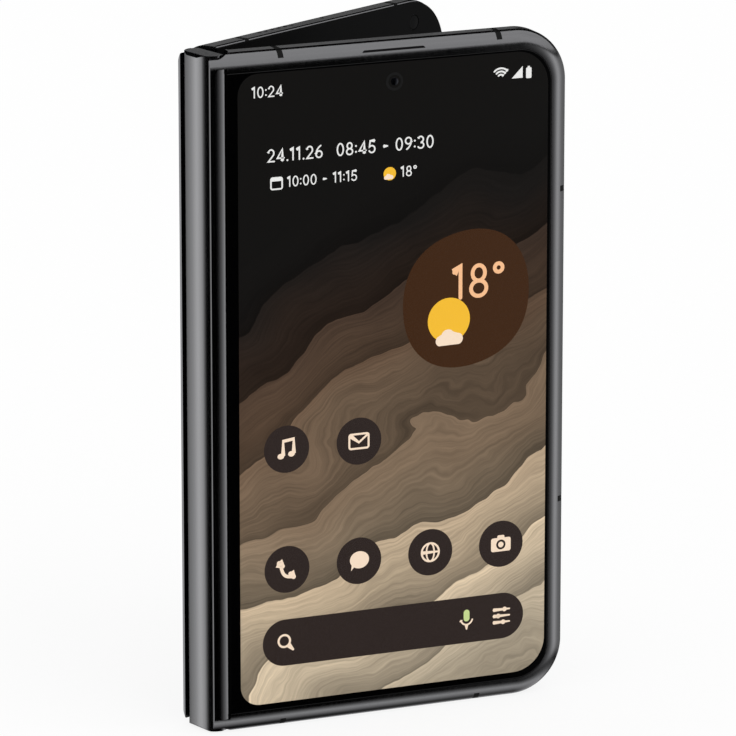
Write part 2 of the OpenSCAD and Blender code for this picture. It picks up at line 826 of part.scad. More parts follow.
module back_glass() {
    on_rear() color(GLASS_BLACK) difference() {
        slab(0, glass_t) half_outline(rail_w + seam, edge_r + seam);
        camera_holes(0.2);
    }
}

bar_glass_t = 0.6;
bar_glass_inset = 2.2;

module bar_pill(inset) {
    r = cam_bar_h / 2 - inset;
    reach = (cam_bar_w - cam_bar_h) / 2;
    for (side = [-1, 1]) translate([bar_x + side * reach, bar_z]) circle(r = r);
    translate([bar_x - reach, bar_z - r]) square([2 * reach, 2 * r]);
}

module camera_bar() {
    on_rear() color(FRAME_BLACK) difference() {
        slab(-cam_bar_t, 0) bar_pill(0);
        slab(-cam_bar_t - cut, -cam_bar_t + bar_glass_t) bar_pill(bar_glass_inset);
        camera_holes(0.1);
    }
}

module camera_bar_glass() {
    on_rear() color(GLASS_BLACK) difference() {
        slab(-cam_bar_t, -cam_bar_t + bar_glass_t - seam) bar_pill(bar_glass_inset + seam);
        rod_y(flash_x, bar_z, flash_r + 0.1, -2 * cam_bar_t, half_t);
    }
}

module lens_rings() {
    ring_t = 0.25;
    on_rear() color(STEEL) for (x = lens_xs) difference() {
        rod_y(x, bar_z, lens_r + 0.7, -cam_bar_t - ring_t, -cam_bar_t);
        rod_y(x, bar_z, lens_r, -cam_bar_t - cut, half_t);
    }
}

module camera_modules() {
    on_rear() color(PLASTIC_BLACK) for (x = lens_xs)
        rod_y(x, bar_z, lens_r, -cam_bar_t + bar_glass_t, backing_y - 0.2);
}

module camera_flash() {
    on_rear() color("ivory") rod_y(flash_x, bar_z, flash_r, -cam_bar_t + seam, inner_y);
}

module rear_chassis_plate() {
    port_room = port_w / 2 + port_wall + 0.3;
    on_rear() color(CELL_GREY) difference() {
        chassis_base();
        arm_screw_holes();
        camera_holes(0.2);
        box([port_x - port_room, 0, 0], [port_x + port_room, half_t, port_depth + 0.6]);
        for (key = [[power_z, power_h], [rocker_z, rocker_h]])
            box([lip_x - key_travel - 0.15, 0, key[0] - key[1] / 2 - 1],
                [half_w, half_t, key[0] + key[1] / 2 + 1]);
        rod_y(inner_cam_x, inner_cam_z, inner_cam_r + 0.05, inner_y - 0.2, half_t);
        for (x = board_screw_xs, z = board_screw_zs) rod_y(x, z, screw_r + 0.02, 0, half_t);
    }
}

board_t = 0.65;
board_near = rail_in + 0.5;
board_far = half_w - 8.5;
board_low = body_h - 55;
board_high = body_h - 35;
board_screw_in = 2;                         // board screws from the board's edges
board_screw_xs = [board_near + board_screw_in, board_far - board_screw_in];
board_screw_zs = [board_low + board_screw_in, board_high - board_screw_in];
rear_cell_low = 17;
haptic_w = 9.5;
haptic_h = 14;
haptic_x = magnet_x - 2 - haptic_w;
haptic_z = magnet_z - 2;

module rear_battery() {
    on_rear() color(CELL_GREY) box([cell_near, inner_y + seam, rear_cell_low],
        [haptic_x - 1, backing_y - seam, board_low - 2]);
}

module main_board() {
    on_rear() color(BOARD_GREEN) difference() {
        box([board_near, inner_y + seam, board_low], [board_far, inner_y + seam + board_t, board_high]);
        for (x = board_screw_xs, z = board_screw_zs) rod_y(x, z, screw_r + 0.02, 0, half_t);
    }
}

module shield_can() {
    wall = 0.2;
    base = inner_y + seam + board_t;
    low = [board_near + 5, base, board_low + 1.5];
    high = [board_far - 5, backing_y - 0.2, board_high - 1.5];
    on_rear() color(STEEL) difference() {
        box(low, high);
        box([low.x + wall, base - cut, low.z + wall], [high.x - wall, high.y - wall, high.z - wall]);
    }
}

module board_screws() {
    top = inner_y + seam + board_t;
    on_rear() color(STEEL) for (x = board_screw_xs, z = board_screw_zs) {
        rod_y(x, z, screw_r, plate_y + 0.1, top);
        rod_y(x, z, screw_head_r, top, top + screw_head_t);
    }
}

module charging_coil() {
    coil_r = 17;
    hole_r = 8;
    coil_t = 0.5;
    coil_z = 55;
    on_rear() color(COPPER) translate([half_w / 2 - 1.75, plate_y - seam, coil_z]) rotate([90, 0, 0])
        difference() {
            cylinder(r = coil_r, h = coil_t);
            translate([0, 0, -cut]) cylinder(r = hole_r, h = coil_t + 2 * cut);
        }
}

// outline of the port in x and y, grown by extra
module port_outline(extra) {
    r = port_h / 2 + extra;
    reach = port_w / 2 - port_h / 2;
    for (x = [-reach, reach]) translate([x, 0]) circle(r = r);
    translate([-reach, -r]) square([2 * reach, 2 * r]);
}

module usb_port() {
    tongue_t = 0.7;
    tongue_w = 6.6;
    on_rear() color(STEEL) translate([port_x, key_y, 0]) {
        difference() {
            translate([0, 0, 0.15]) linear_extrude(port_depth) port_outline(port_wall);
            translate([0, 0, -cut]) linear_extrude(port_depth + cut - 0.4) port_outline(0);
        }
        box([-tongue_w / 2, -tongue_t / 2, 1], [tongue_w / 2, tongue_t / 2, port_depth]);
    }
}

module sim_tray() {
    low = inner_y + 2 * seam;
    on_rear() color(FRAME_BLACK) difference() {
        slab(low, low + tray_t) rounded(half_w - tray_depth, tray_z, half_w, tray_z + tray_h, 1, 0.1);
        slab(low - cut, low + tray_t - 0.5)
            rounded(half_w - tray_depth + 1, tray_z + 1,
                half_w - tray_depth + 11, tray_z + tray_h - 1, 0.5, 0.5);
        translate([half_w - 1.5, low + tray_t / 2, tray_z + tray_h - 2]) rotate([0, 90, 0])
            cylinder(r = 0.4, h = 3);
    }
}

module power_button() {
    on_rear() color(FRAME_BLACK) key_cap(power_z, power_h);
}

module volume_rocker() {
    on_rear() color(FRAME_BLACK) key_cap(rocker_z, rocker_h);
}

module key_switches() {
    dome_x = lip_x - key_travel - 0.05;
    strip_x = dome_x - 0.6;
    on_rear() color(STEEL) {
        box([strip_x - 0.4, inner_y + seam, rocker_z - 12], [strip_x, inner_y + 2, power_z + 6]);
        for (z = [rocker_z - 8, rocker_z + 8, power_z])
            translate([strip_x, inner_y + 1.2, z]) rotate([0, 90, 0]) cylinder(r = 0.7, h = dome_x - strip_x);
    }
}

module loudspeakers() {
    size_x = 2 * grille_count + 1;
    on_rear() color(PLASTIC_BLACK) {
        box([speaker_low_x, inner_y + seam, wall_t + seam], [speaker_low_x + size_x, backing_y - 0.2, 14]);
        box([speaker_top_x, inner_y + seam, body_h - 12],
            [speaker_top_x + size_x, backing_y - 0.2, body_h - wall_t - seam]);
    }
}

module haptic_motor() {
    on_rear() color(STEEL)
        box([haptic_x, inner_y + seam, haptic_z],
            [haptic_x + haptic_w, backing_y - 0.1, haptic_z + haptic_h]);
}

module inner_camera() {
    on_rear() color(PLASTIC_BLACK) rod_y(inner_cam_x, inner_cam_z, inner_cam_r, inner_y, half_t - 0.1);
}

module rear_magnets() {
    on_rear() magnets();
}

module rear_inner_bezel() {
    on_rear() color(PLASTIC_BLACK) difference() {
        inner_bezel();
        rod_y(inner_cam_x, inner_cam_z, inner_cam_r + seam, 0, half_t + cut);
    }
}

module rear_inner_panel() {
    on_rear() inner_panel();
}

module rear_panel_backing() {
    on_rear() panel_backing();
}

module rear_hinge_arms() {
    on_rear() hinge_arms();
}

module rear_sync_gears() {
    on_rear() gear_pair(axis_a, main_teeth, 90 + 180 / main_teeth, journal_r + run_gap);
}

module rear_arm_screws() {
    on_rear() arm_screws();
}

front_frame();
front_antenna_bands();
front_hinge_rail();
cover_glass();
cover_display();
front_camera();
earpiece_mesh();
earpiece_speaker();
front_chassis_plate();
front_battery();
front_board();
front_magnets();
front_inner_bezel();
front_inner_panel();
front_panel_backing();
front_hinge_arms();
front_sync_gears();
front_arm_screws();
spine_cover();
hinge_pins();
idler_pins();
friction_washers();
front_idler_gears();
rear_idler_gears();
folding_panel();
hinge_cable();
rear_frame();
rear_antenna_bands();
rear_hinge_rail();
back_glass();
camera_bar();
camera_bar_glass();
lens_rings();
camera_modules();
camera_flash();
rear_chassis_plate();
rear_battery();
main_board();
shield_can();
board_screws();
charging_coil();
usb_port();
sim_tray();
power_button();
volume_rocker();
key_switches();
loudspeakers();
haptic_motor();
inner_camera();
rear_magnets();
rear_inner_bezel();
rear_inner_panel();
rear_panel_backing();
rear_hinge_arms();
rear_sync_gears();
rear_arm_screws();
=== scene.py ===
"""Studio look of a folding phone that stands partly open, like a book, on its lower edge.

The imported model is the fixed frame. Sizes here are in millimetres, in the frame of one half: x from
its hinge end to its free edge, y from its outer face inwards, and z up. Placer turns them into metres
in the row frame.
"""

from __future__ import annotations

import json
import logging
import math
from dataclasses import dataclass
from enum import Enum
from typing import Callable, Iterable, Sequence

import bmesh
import bpy
from mathutils import Matrix, Vector

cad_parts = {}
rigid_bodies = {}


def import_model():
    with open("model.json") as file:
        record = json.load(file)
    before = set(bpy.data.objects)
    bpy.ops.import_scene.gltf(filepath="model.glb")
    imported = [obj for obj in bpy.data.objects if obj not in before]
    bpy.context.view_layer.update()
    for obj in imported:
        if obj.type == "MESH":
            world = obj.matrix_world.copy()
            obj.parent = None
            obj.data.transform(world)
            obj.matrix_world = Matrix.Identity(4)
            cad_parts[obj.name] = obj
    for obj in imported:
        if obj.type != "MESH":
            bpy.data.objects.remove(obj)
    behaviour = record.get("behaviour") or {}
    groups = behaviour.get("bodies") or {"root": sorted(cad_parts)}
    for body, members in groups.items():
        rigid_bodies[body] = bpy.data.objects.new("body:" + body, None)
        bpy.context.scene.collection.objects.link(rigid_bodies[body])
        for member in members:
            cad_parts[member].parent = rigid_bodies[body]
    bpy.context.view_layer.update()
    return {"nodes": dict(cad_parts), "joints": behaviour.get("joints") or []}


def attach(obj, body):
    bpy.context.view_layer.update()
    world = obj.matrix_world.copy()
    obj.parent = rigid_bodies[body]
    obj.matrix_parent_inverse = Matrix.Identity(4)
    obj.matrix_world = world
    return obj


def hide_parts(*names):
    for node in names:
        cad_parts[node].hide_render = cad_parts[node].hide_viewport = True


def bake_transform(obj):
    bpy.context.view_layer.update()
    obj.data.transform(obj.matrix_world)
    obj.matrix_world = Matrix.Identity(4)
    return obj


log = logging.getLogger("folding_phone")

MM = 0.001
IMAGE_PX = 736
SHARP = math.radians(32)

Point = tuple[float, float]
Loop = list[Point]
Colour = tuple[float, float, float]


def linear(red: int, green: int, blue: int) -> Colour:
    """Screen colour, 0 to 255, as linear light."""
    parts = (c / 255 for c in (red, green, blue))
    return tuple(c / 12.92 if c < 0.04045 else ((c + 0.055) / 1.055) ** 2.4 for c in parts)


# ------------------------------------------------------------------ sizes and places


class Station(Enum):
    """The three rigid groups that pieces are drawn in."""

    FRONT = "front_half"
    SPINE = "spine"
    REAR = "rear_half"


@dataclass(frozen=True)
class PhoneSizes:
    """Sizes of both halves: the solids' own, but for edge_w, how wide the frame's rounding is."""

    body_h: float = 139.7
    half_w: float = 79.5
    half_t: float = 5.8
    closed_gap: float = 0.5
    corner_r: float = 11.0
    edge_r: float = 2.3
    edge_w: float = 3.8
    rim_r: float = 0.5
    wall_t: float = 2.8
    band_w: float = 1.2
    rail_w: float = 5.3
    rail_in: float = 7.5
    axis_in: float = 3.55
    axis_gap: float = 1.8
    flat_gap: float = 0.1
    spine_gap: float = 0.12
    spine_r: float = 3.05
    spine_side_r: float = 8.0
    spine_end: float = 0.3
    glass_t: float = 0.7
    seam: float = 0.05
    bezel_t: float = 0.6
    bezel_z: float = 8.15
    bezel_x: float = 5.7
    bezel_inset: float = 0.3
    panel_drop: float = 0.4
    panel_t: float = 0.35
    window_r: float = 3.0
    bend_out: float = 2.25

    @property
    def frame_y(self) -> float:
        """Height of the metal frame from the outer face."""
        return self.half_t - self.bezel_t

    @property
    def mid_y(self) -> float:
        """Plane between the closed halves."""
        return self.half_t + self.closed_gap / 2

    @property
    def side_x(self) -> float:
        """Middle of the circle of the spine's bulging side."""
        return self.axis_in + math.sqrt((self.spine_side_r - self.spine_r) ** 2 - self.axis_gap ** 2)

    @property
    def cavity_r(self) -> float:
        """Hollow that each half has for the spine."""
        return self.spine_side_r - self.side_x + self.axis_in + self.spine_gap

    @property
    def skin_x(self) -> float:
        """Hinge end of each half's rail."""
        return self.axis_in - self.axis_gap + self.flat_gap / 2

    @property
    def axis_y(self) -> float:
        """Height of the hinge axis from the outer face."""
        return self.mid_y - self.axis_gap

    @property
    def panel_y(self) -> float:
        """Lower face of the inner display."""
        return self.half_t - self.panel_drop - self.panel_t


class Placer:
    """Places a station's millimetres in the row frame, in metres."""

    def __init__(self, sizes: PhoneSizes, open_angle: float) -> None:
        """Works out the three matrices.

        Args:
            sizes: the phone's sizes.
            open_angle: angle between the halves at rest, in degrees.
        """
        axis_a = Matrix.Translation((sizes.axis_in, sizes.axis_y, 0))
        axis_b = Matrix.Translation((sizes.axis_in, 2 * sizes.mid_y - sizes.axis_y, 0))
        swing = Matrix.Rotation(math.radians(open_angle / 2), 4, "Z")
        front = Matrix.Scale(MM, 4) @ Matrix.Translation((-sizes.half_w / 2, -sizes.half_t / 2, 0))
        spine = front @ axis_a @ swing @ axis_a.inverted()
        flip = Matrix.Translation((0, 2 * sizes.mid_y, 0)) @ Matrix.Scale(-1, 4, (0, 1, 0))
        self.matrices = {
            Station.FRONT: front,
            Station.SPINE: spine,
            Station.REAR: spine @ axis_b @ swing @ axis_b.inverted() @ flip,
        }

    def point(self, station: Station, x: float, y: float, z: float) -> Vector:
        """One point of a station in the row frame."""
        return self.matrices[station] @ Vector((x, y, z))


# ------------------------------------------------------------------ outlines


def arc(cx: float, cz: float, rx: float, rz: float, start: float, end: float, steps: int = 16) -> Loop:
    """Points along an elliptical arc, angles in degrees from +x towards +z."""
    turn = [math.radians(start + (end - start) * i / steps) for i in range(steps + 1)]
    return [(cx + rx * math.cos(a), cz + rz * math.sin(a)) for a in turn]


def quarter(steps: int) -> list[float]:
    """Angles over a quarter turn, in radians."""
    return [math.radians(90 * i / steps) for i in range(steps + 1)]


def disc(cx: float, cz: float, rx: float, rz: float | None = None, steps: int = 40) -> Loop:
    """Closed circle or ellipse."""
    return arc(cx, cz, rx, rx if rz is None else rz, 0, 360, steps)[:-1]


def rounded(x0: float, z0: float, x1: float, z1: float, radii: Sequence[float], steps: int = 14) -> Loop:
    """Rectangle with rounded corners.

    Args:
        x0: left side.
        z0: lower side.
        x1: right side.
        z1: upper side.
        radii: corner radii, lower left first, then anticlockwise.
        steps: points along each corner.

    Returns:
        The closed outline, anticlockwise.
    """
    corners = ((x0, z0, 1, 1, 180), (x1, z0, -1, 1, 270), (x1, z1, -1, -1, 0), (x0, z1, 1, -1, 90))
    loop: Loop = []
    for (x, z, sx, sz, start), r in zip(corners, radii):
        loop += arc(x + sx * r, z + sz * r, r, r, start, start + 90, steps) if r else [(x, z)]
    return loop


def ribbon(points: Sequence[Point], width: float, closed: bool = False) -> list[Loop]:
    """Outline of a stroke of even width.

    Args:
        points: the stroke's middle line.
        width: its width.
        closed: whether it is a ring.

    Returns:
        One loop, or two for a ring.
    """
    half = width / 2
    count = len(points)
    left: Loop = []
    right: Loop = []
    for i, (x, z) in enumerate(points):
        before = points[i - 1] if closed or i else points[i]
        after = points[(i + 1) % count] if closed or i < count - 1 else points[i]
        a = Vector((x - before[0], z - before[1]))
        b = Vector((after[0] - x, after[1] - z))
        a, b = (a or b).normalized(), (b or a).normalized()
        mean = (a + b).normalized()
        reach = half / max(0.45, mean.dot(a))
        left.append((x - mean.y * reach, z + mean.x * reach))
        right.append((x + mean.y * reach, z - mean.x * reach))
    if closed:
        return [left, right[::-1]]

    def cap(at: Point, towards: Point) -> Loop:
        """Round end of the stroke."""
        angle = math.degrees(math.atan2(at[1] - towards[1], at[0] - towards[0]))
        return arc(at[0], at[1], half, half, angle - 90, angle + 90, 8)[1:-1]

    return [right + cap(points[-1], points[-2]) + left[::-1] + cap(points[0], points[1])]


def moved(loops: Iterable[Loop], dx: float, dz: float, scale: float = 1.0) -> list[Loop]:
    """Loops scaled and then moved."""
    return [[(x * scale + dx, z * scale + dz) for x, z in loop] for loop in loops]


class Numerals:
    """Plain round-ended numerals, one unit tall, drawn as strokes."""

    WEIGHT = 0.115
    GAP = 0.14
    MARKS: dict[str, tuple[float, list[tuple[Loop, bool]]]] = {
        "0": (0.60, [(disc(0.30, 0.5, 0.235, 0.44), True)]),
        "1": (0.36, [([(0.05, 0.80), (0.24, 0.94), (0.24, 0.06)], False)]),
        "2": (0.58, [(arc(0.28, 0.68, 0.22, 0.26, 165, -38) + [(0.06, 0.06), (0.53, 0.06)], False)]),
        "3": (0.58, [(arc(0.27, 0.715, 0.21, 0.225, 150, -80) , False),
                     (arc(0.27, 0.28, 0.24, 0.22, 80, -150), False)]),
        "4": (0.64, [([(0.45, 0.06), (0.45, 0.94), (0.05, 0.27), (0.59, 0.27)], False)]),
        "5": (0.58, [([(0.50, 0.94), (0.14, 0.94), (0.09, 0.50)]
                      + arc(0.28, 0.32, 0.24, 0.26, 128, -150), False)]),
        "6": (0.60, [(disc(0.30, 0.30, 0.235, 0.24), True),
                     (arc(0.86, 0.26, 0.80, 0.80, 174, 122, 8), False)]),
        "7": (0.58, [([(0.05, 0.94), (0.53, 0.94), (0.20, 0.06)], False)]),
        "8": (0.60, [(disc(0.30, 0.72, 0.19, 0.22), True), (disc(0.30, 0.28, 0.235, 0.22), True)]),
        "9": (0.60, [(disc(0.30, 0.70, 0.235, 0.24), True),
                     (arc(-0.26, 0.74, 0.80, 0.80, -6, -58, 8), False)]),
        ":": (0.14, []),
        ".": (0.14, []),
        " ": (0.34, []),
        "-": (0.36, [([(0.03, 0.45), (0.33, 0.45)], False)]),
        "o": (0.34, [(disc(0.17, 0.82, 0.12), True)]),
    }
    DOTS = {":": (0.22, 0.66), ".": (0.07,)}

    @classmethod
    def shapes(cls, text: str, x: float, z: float, height: float) -> list[list[Loop]]:
        """Outlines of a row of marks.

        Args:
            text: the marks; "o" is the degree ring.
            x: left end.
            z: foot of the row.
            height: height of a numeral.

        Returns:
            One list of loops for each stroke.
        """
        found: list[list[Loop]] = []
        pen = 0.0
        for mark in text:
            width, strokes = cls.MARKS[mark]
            for line, closed in strokes:
                found.append(moved(ribbon(line, cls.WEIGHT, closed), pen, 0))
            for dot_z in cls.DOTS.get(mark, ()):
                found.append(moved([disc(0.07, dot_z, 0.075, steps=16)], pen, 0))
            pen += width + cls.GAP
        return [moved(loops, x, z, height) for loops in found]


# ------------------------------------------------------------------ finishes


class Tree:
    """Short way to write a material's nodes."""

    def __init__(self, name: str) -> None:
        """Starts an empty material with an output and one Principled shader."""
        self.material = bpy.data.materials.new(name)
        self.material.use_nodes = True
        self.nodes = self.material.node_tree.nodes
        self.links = self.material.node_tree.links
        self.nodes.clear()
        self.shader = self.nodes.new("ShaderNodeBsdfPrincipled")
        self.output = self.nodes.new("ShaderNodeOutputMaterial")
        self.show(self.shader.outputs[0])

    def show(self, surface: bpy.types.NodeSocket) -> None:
        """Makes a shader the material's surface."""
        self.links.new(surface, self.output.inputs["Surface"])

    def add(self, kind: str, **settings: object) -> bpy.types.Node:
        """New node with its own settings."""
        node = self.nodes.new("ShaderNode" + kind)
        for key, value in settings.items():
            setattr(node, key, value)
        return node

    def plug(self, node: bpy.types.Node, key: str | int, value: object) -> None:
        """Sets a socket to a value, or links it where the value is a socket."""
        if isinstance(value, bpy.types.NodeSocket):
            self.links.new(value, node.inputs[key])
        else:
            node.inputs[key].default_value = value

    def math(self, operation: str, *values: object) -> bpy.types.NodeSocket:
        """Result of a Math node."""
        node = self.add("Math", operation=operation)
        for i, value in enumerate(values):
            self.plug(node, i, value)
        return node.outputs[0]

    def place(self, scale: Sequence[float], turn: Sequence[float] = (0, 0, 0),
              shift: Sequence[float] = (0, 0, 0)) -> bpy.types.NodeSocket:
        """Object coordinates through a Mapping node."""
        mapping = self.add("Mapping")
        self.plug(mapping, "Location", shift)
        self.plug(mapping, "Rotation", turn)
        self.plug(mapping, "Scale", scale)
        self.links.new(self.add("TexCoord").outputs["Object"], mapping.inputs["Vector"])
        return mapping.outputs[0]

    def noise(self, vector: bpy.types.NodeSocket, scale: float, detail: float = 3.0,
              rough: float = 0.5) -> bpy.types.NodeSocket:
        """Noise between 0 and 1."""
        node = self.add("TexNoise")
        self.plug(node, "Vector", vector)
        self.plug(node, "Scale", scale)
        self.plug(node, "Detail", detail)
        self.plug(node, "Roughness", rough)
        return node.outputs[0]

    def spread(self, value: bpy.types.NodeSocket, low: float, high: float, start: float = 0.3,
               end: float = 0.7) -> bpy.types.NodeSocket:
        """Value taken from start..end to low..high."""
        node = self.add("MapRange")
        for key, number in (("From Min", start), ("From Max", end), ("To Min", low), ("To Max", high)):
            self.plug(node, key, number)
        self.plug(node, "Value", value)
        return node.outputs[0]

    def ramp(self, value: bpy.types.NodeSocket, stops: Sequence[tuple[float, Colour]]) -> bpy.types.NodeSocket:
        """Colour ramp through the stops."""
        node = self.add("ValToRGB")
        elements = node.color_ramp.elements
        while len(elements) < len(stops):
            elements.new(0.5)
        for element, (at, colour) in zip(elements, stops):
            element.position = at
            element.color = (*colour, 1.0)
        self.plug(node, 0, value)
        return node.outputs[0]

    def mix(self, factor: object, first: object, second: object, blend: str = "MIX") -> bpy.types.NodeSocket:
        """Mix of two colours."""
        node = self.add("Mix", data_type="RGBA", blend_type=blend)
        self.plug(node, 0, factor)
        for key, value in ((6, first), (7, second)):
            self.plug(node, key, value if isinstance(value, bpy.types.NodeSocket) else (*value, 1.0))
        return node.outputs[2]

    def rings(self, centre: Sequence[float], pitch: float) -> bpy.types.NodeSocket:
        """Waves round a centre, from -1 to 1."""
        away = self.add("VectorMath", operation="LENGTH")
        self.plug(away, 0, self.place((1, 1, 1), shift=tuple(-c for c in centre)))
        return self.math("SINE", self.math("MULTIPLY", away.outputs[1], 2 * math.pi / pitch))

    def bump(self, height: bpy.types.NodeSocket, strength: float, depth: float) -> None:
        """Bump on the shader, its depth in metres."""
        node = self.add("Bump")
        self.plug(node, "Strength", strength)
        self.plug(node, "Distance", depth)
        self.plug(node, "Height", height)
        self.links.new(node.outputs[0], self.shader.inputs["Normal"])

    def set(self, **values: object) -> None:
        """Sets the shader's sockets, with _ for a space."""
        for key, value in values.items():
            name = key.replace("_", " ")
            if name == "Base Color" and not isinstance(value, bpy.types.NodeSocket):
                value = (*value, 1.0)
            self.plug(self.shader, name, value)


@dataclass(frozen=True)
class Finish:
    """A finish that can be made into a material."""

    name: str
    colour: Colour

    def tone(self, share: float) -> Colour:
        """The colour, darker or lighter."""
        return tuple(c * share for c in self.colour)

    def build(self) -> bpy.types.Material:
        """The Blender material."""
        raise NotImplementedError


@dataclass(frozen=True)
class PolishedMetal(Finish):
    """Polished metal with a faint grain along the phone's height."""

    rough: float = 0.16
    grain: float = 0.05

    def build(self) -> bpy.types.Material:
        """The Blender material."""
        tree = Tree(self.name)
        streaks = tree.noise(tree.place((1400, 1400, 30)), 1.0, 4.0, 0.6)
        clouds = tree.noise(tree.place((45, 45, 25)), 1.0, 2.0)
        blend = tree.math("ADD", tree.math("MULTIPLY", streaks, 0.5), tree.math("MULTIPLY", clouds, 0.5))
        tree.set(Base_Color=self.colour, Metallic=1.0,
                 Roughness=tree.spread(blend, self.rough - self.grain, self.rough + self.grain))
        tree.bump(streaks, 0.06, 0.00001)
        return tree.material


@dataclass(frozen=True)
class DarkGlass(Finish):
    """Black-backed glass with a trace of smudging in its shine."""

    rough: float = 0.035
    shine: float = 0.5

    def build(self) -> bpy.types.Material:
        """The Blender material."""
        tree = Tree(self.name)
        smudge = tree.noise(tree.place((28, 28, 17)), 1.0, 5.0, 0.55)
        tree.set(Base_Color=self.colour, IOR=1.5, Specular_IOR_Level=self.shine,
                 Roughness=tree.spread(smudge, self.rough * 0.6, self.rough * 1.7))
        return tree.material


@dataclass(frozen=True)
class SatinPlastic(Finish):
    """Moulded plastic with a fine eroded grain."""

    rough: float = 0.5
    grain: float = 9000.0
    shine: float = 0.5

    def build(self) -> bpy.types.Material:
        """The Blender material."""
        tree = Tree(self.name)
        fine = tree.noise(tree.place((self.grain,) * 3), 1.0, 2.0)
        broad = tree.noise(tree.place((90, 90, 90)), 1.0, 3.0)
        tree.set(Base_Color=tree.mix(tree.spread(broad, 0.0, 0.6), self.colour, self.tone(1.6)),
                 Specular_IOR_Level=self.shine, Roughness=tree.spread(fine, self.rough - 0.08, self.rough + 0.08))
        tree.bump(fine, 0.12, 0.00002)
        return tree.material


@dataclass(frozen=True)
class MachinedMetal(Finish):
    """Bare metal with tool marks across it."""

    rough: float = 0.32
    pitch: float = 2600.0

    def build(self) -> bpy.types.Material:
        """The Blender material."""
        tree = Tree(self.name)
        wave = tree.add("TexWave", wave_type="BANDS", bands_direction="X")
        tree.plug(wave, "Vector", tree.place((1, 1, 0.2), (0, 0.6, 0)))
        tree.plug(wave, "Scale", self.pitch)
        tree.plug(wave, "Distortion", 1.5)
        stain = tree.noise(tree.place((120, 120, 120)), 1.0, 4.0)
        tree.set(Base_Color=tree.mix(tree.spread(stain, 0.0, 1.0), self.colour, self.tone(0.78)), Metallic=1.0,
                 Roughness=tree.spread(stain, self.rough - 0.07, self.rough + 0.07))
        tree.bump(wave.outputs[1], 0.1, 0.00001)
        return tree.material


@dataclass(frozen=True)
class FoilPouch(Finish):
    """Crinkled foil over a battery cell."""

    def build(self) -> bpy.types.Material:
        """The Blender material."""
        tree = Tree(self.name)
        folds = tree.noise(tree.place((260, 260, 200)), 1.0, 5.0, 0.6)
        tree.set(Base_Color=tree.mix(tree.spread(folds, 0.0, 1.0), self.colour, self.tone(0.6)),
                 Metallic=0.65, Roughness=tree.spread(folds, 0.28, 0.5))
        tree.bump(folds, 0.35, 0.00012)
        return tree.material


@dataclass(frozen=True)
class CircuitBoard(Finish):
    """Solder mask with a net of tracks and gold pads under it."""

    def build(self) -> bpy.types.Material:
        """The Blender material."""
        tree = Tree(self.name)
        tracks = tree.add("TexBrick", offset=0.37, squash=0.7)
        tree.plug(tracks, "Vector", tree.place((1, 0, 1), (math.pi / 2, 0, 0)))
        tree.plug(tracks, "Scale", 420.0)
        tree.plug(tracks, "Color1", (*self.colour, 1))
        tree.plug(tracks, "Color2", (*self.tone(0.7), 1))
        tree.plug(tracks, "Mortar", (*(c * 1.8 + 0.01 for c in self.colour), 1))
        tree.plug(tracks, "Mortar Size", 0.06)
        pads = tree.add("TexVoronoi")
        tree.plug(pads, "Vector", tree.place((1, 1, 1)))
        tree.plug(pads, "Scale", 700.0)
        spots = tree.math("LESS_THAN", pads.outputs[0], 0.22)
        tree.set(Base_Color=tree.mix(spots, tracks.outputs[0], (0.62, 0.46, 0.18)), Metallic=spots,
                 Roughness=0.34)
        tree.bump(tracks.outputs[1], 0.15, 0.00003)
        return tree.material


@dataclass(frozen=True)
class WoundCopper(Finish):
    """Lacquered copper, turn beside turn round a centre."""

    centre: tuple[float, float, float] = (0.0, 0.0, 0.0)
    pitch: float = 0.0005

    def build(self) -> bpy.types.Material:
        """The Blender material."""
        tree = Tree(self.name)
        turns = tree.rings(self.centre, self.pitch)
        tree.set(Base_Color=tree.mix(tree.spread(turns, 0.0, 1.0, -1.0, 0.2), self.tone(0.35), self.colour),
                 Metallic=1.0, Roughness=0.3)
        tree.bump(turns, 0.4, 0.00006)
        return tree.material


@dataclass(frozen=True)
class LensCoat(Finish):
    """Dark coated lens with a faint cold tint in its shine."""

    tint: Colour = (0.75, 0.8, 1.0)
    coat: float = 0.6

    def build(self) -> bpy.types.Material:
        """The Blender material."""
        tree = Tree(self.name)
        depth = tree.noise(tree.place((300, 300, 300)), 1.0, 1.0)
        tree.set(Base_Color=tree.mix(tree.spread(depth, 0.0, 0.5), self.colour, self.tone(2)),
                 Roughness=0.04, IOR=1.6, Specular_Tint=(*self.tint, 1.0), Coat_Weight=self.coat,
                 Coat_Roughness=0.03)
        return tree.material


@dataclass(frozen=True)
class FlashLens(Finish):
    """Warm diffuser with moulded rings."""

    centre: tuple[float, float, float] = (0.0, 0.0, 0.0)
    pitch: float = 0.00035

    def build(self) -> bpy.types.Material:
        """The Blender material."""
        tree = Tree(self.name)
        rings = tree.rings(self.centre, self.pitch)
        tree.set(Base_Color=tree.mix(tree.spread(rings, 0.0, 1.0, -1.0, 1.0), self.tone(0.8), self.colour),
                 Roughness=0.18, Coat_Weight=0.5)
        tree.bump(rings, 0.5, 0.00005)
        return tree.material


@dataclass(frozen=True)
class PrintedColour(Finish):
    """A sign of the lit display: one colour with the panel's faint pixel grain."""

    rough: float = 0.25

    def build(self) -> bpy.types.Material:
        """The Blender material."""
        tree = Tree(self.name)
        pixels = tree.noise(tree.place((14000, 14000, 14000)), 1.0, 1.0)
        tree.set(Base_Color=tree.mix(tree.spread(pixels, 0.0, 1.0), self.colour, self.tone(0.94)),
                 Roughness=tree.spread(pixels, self.rough * 0.8, self.rough * 1.2))
        return tree.material


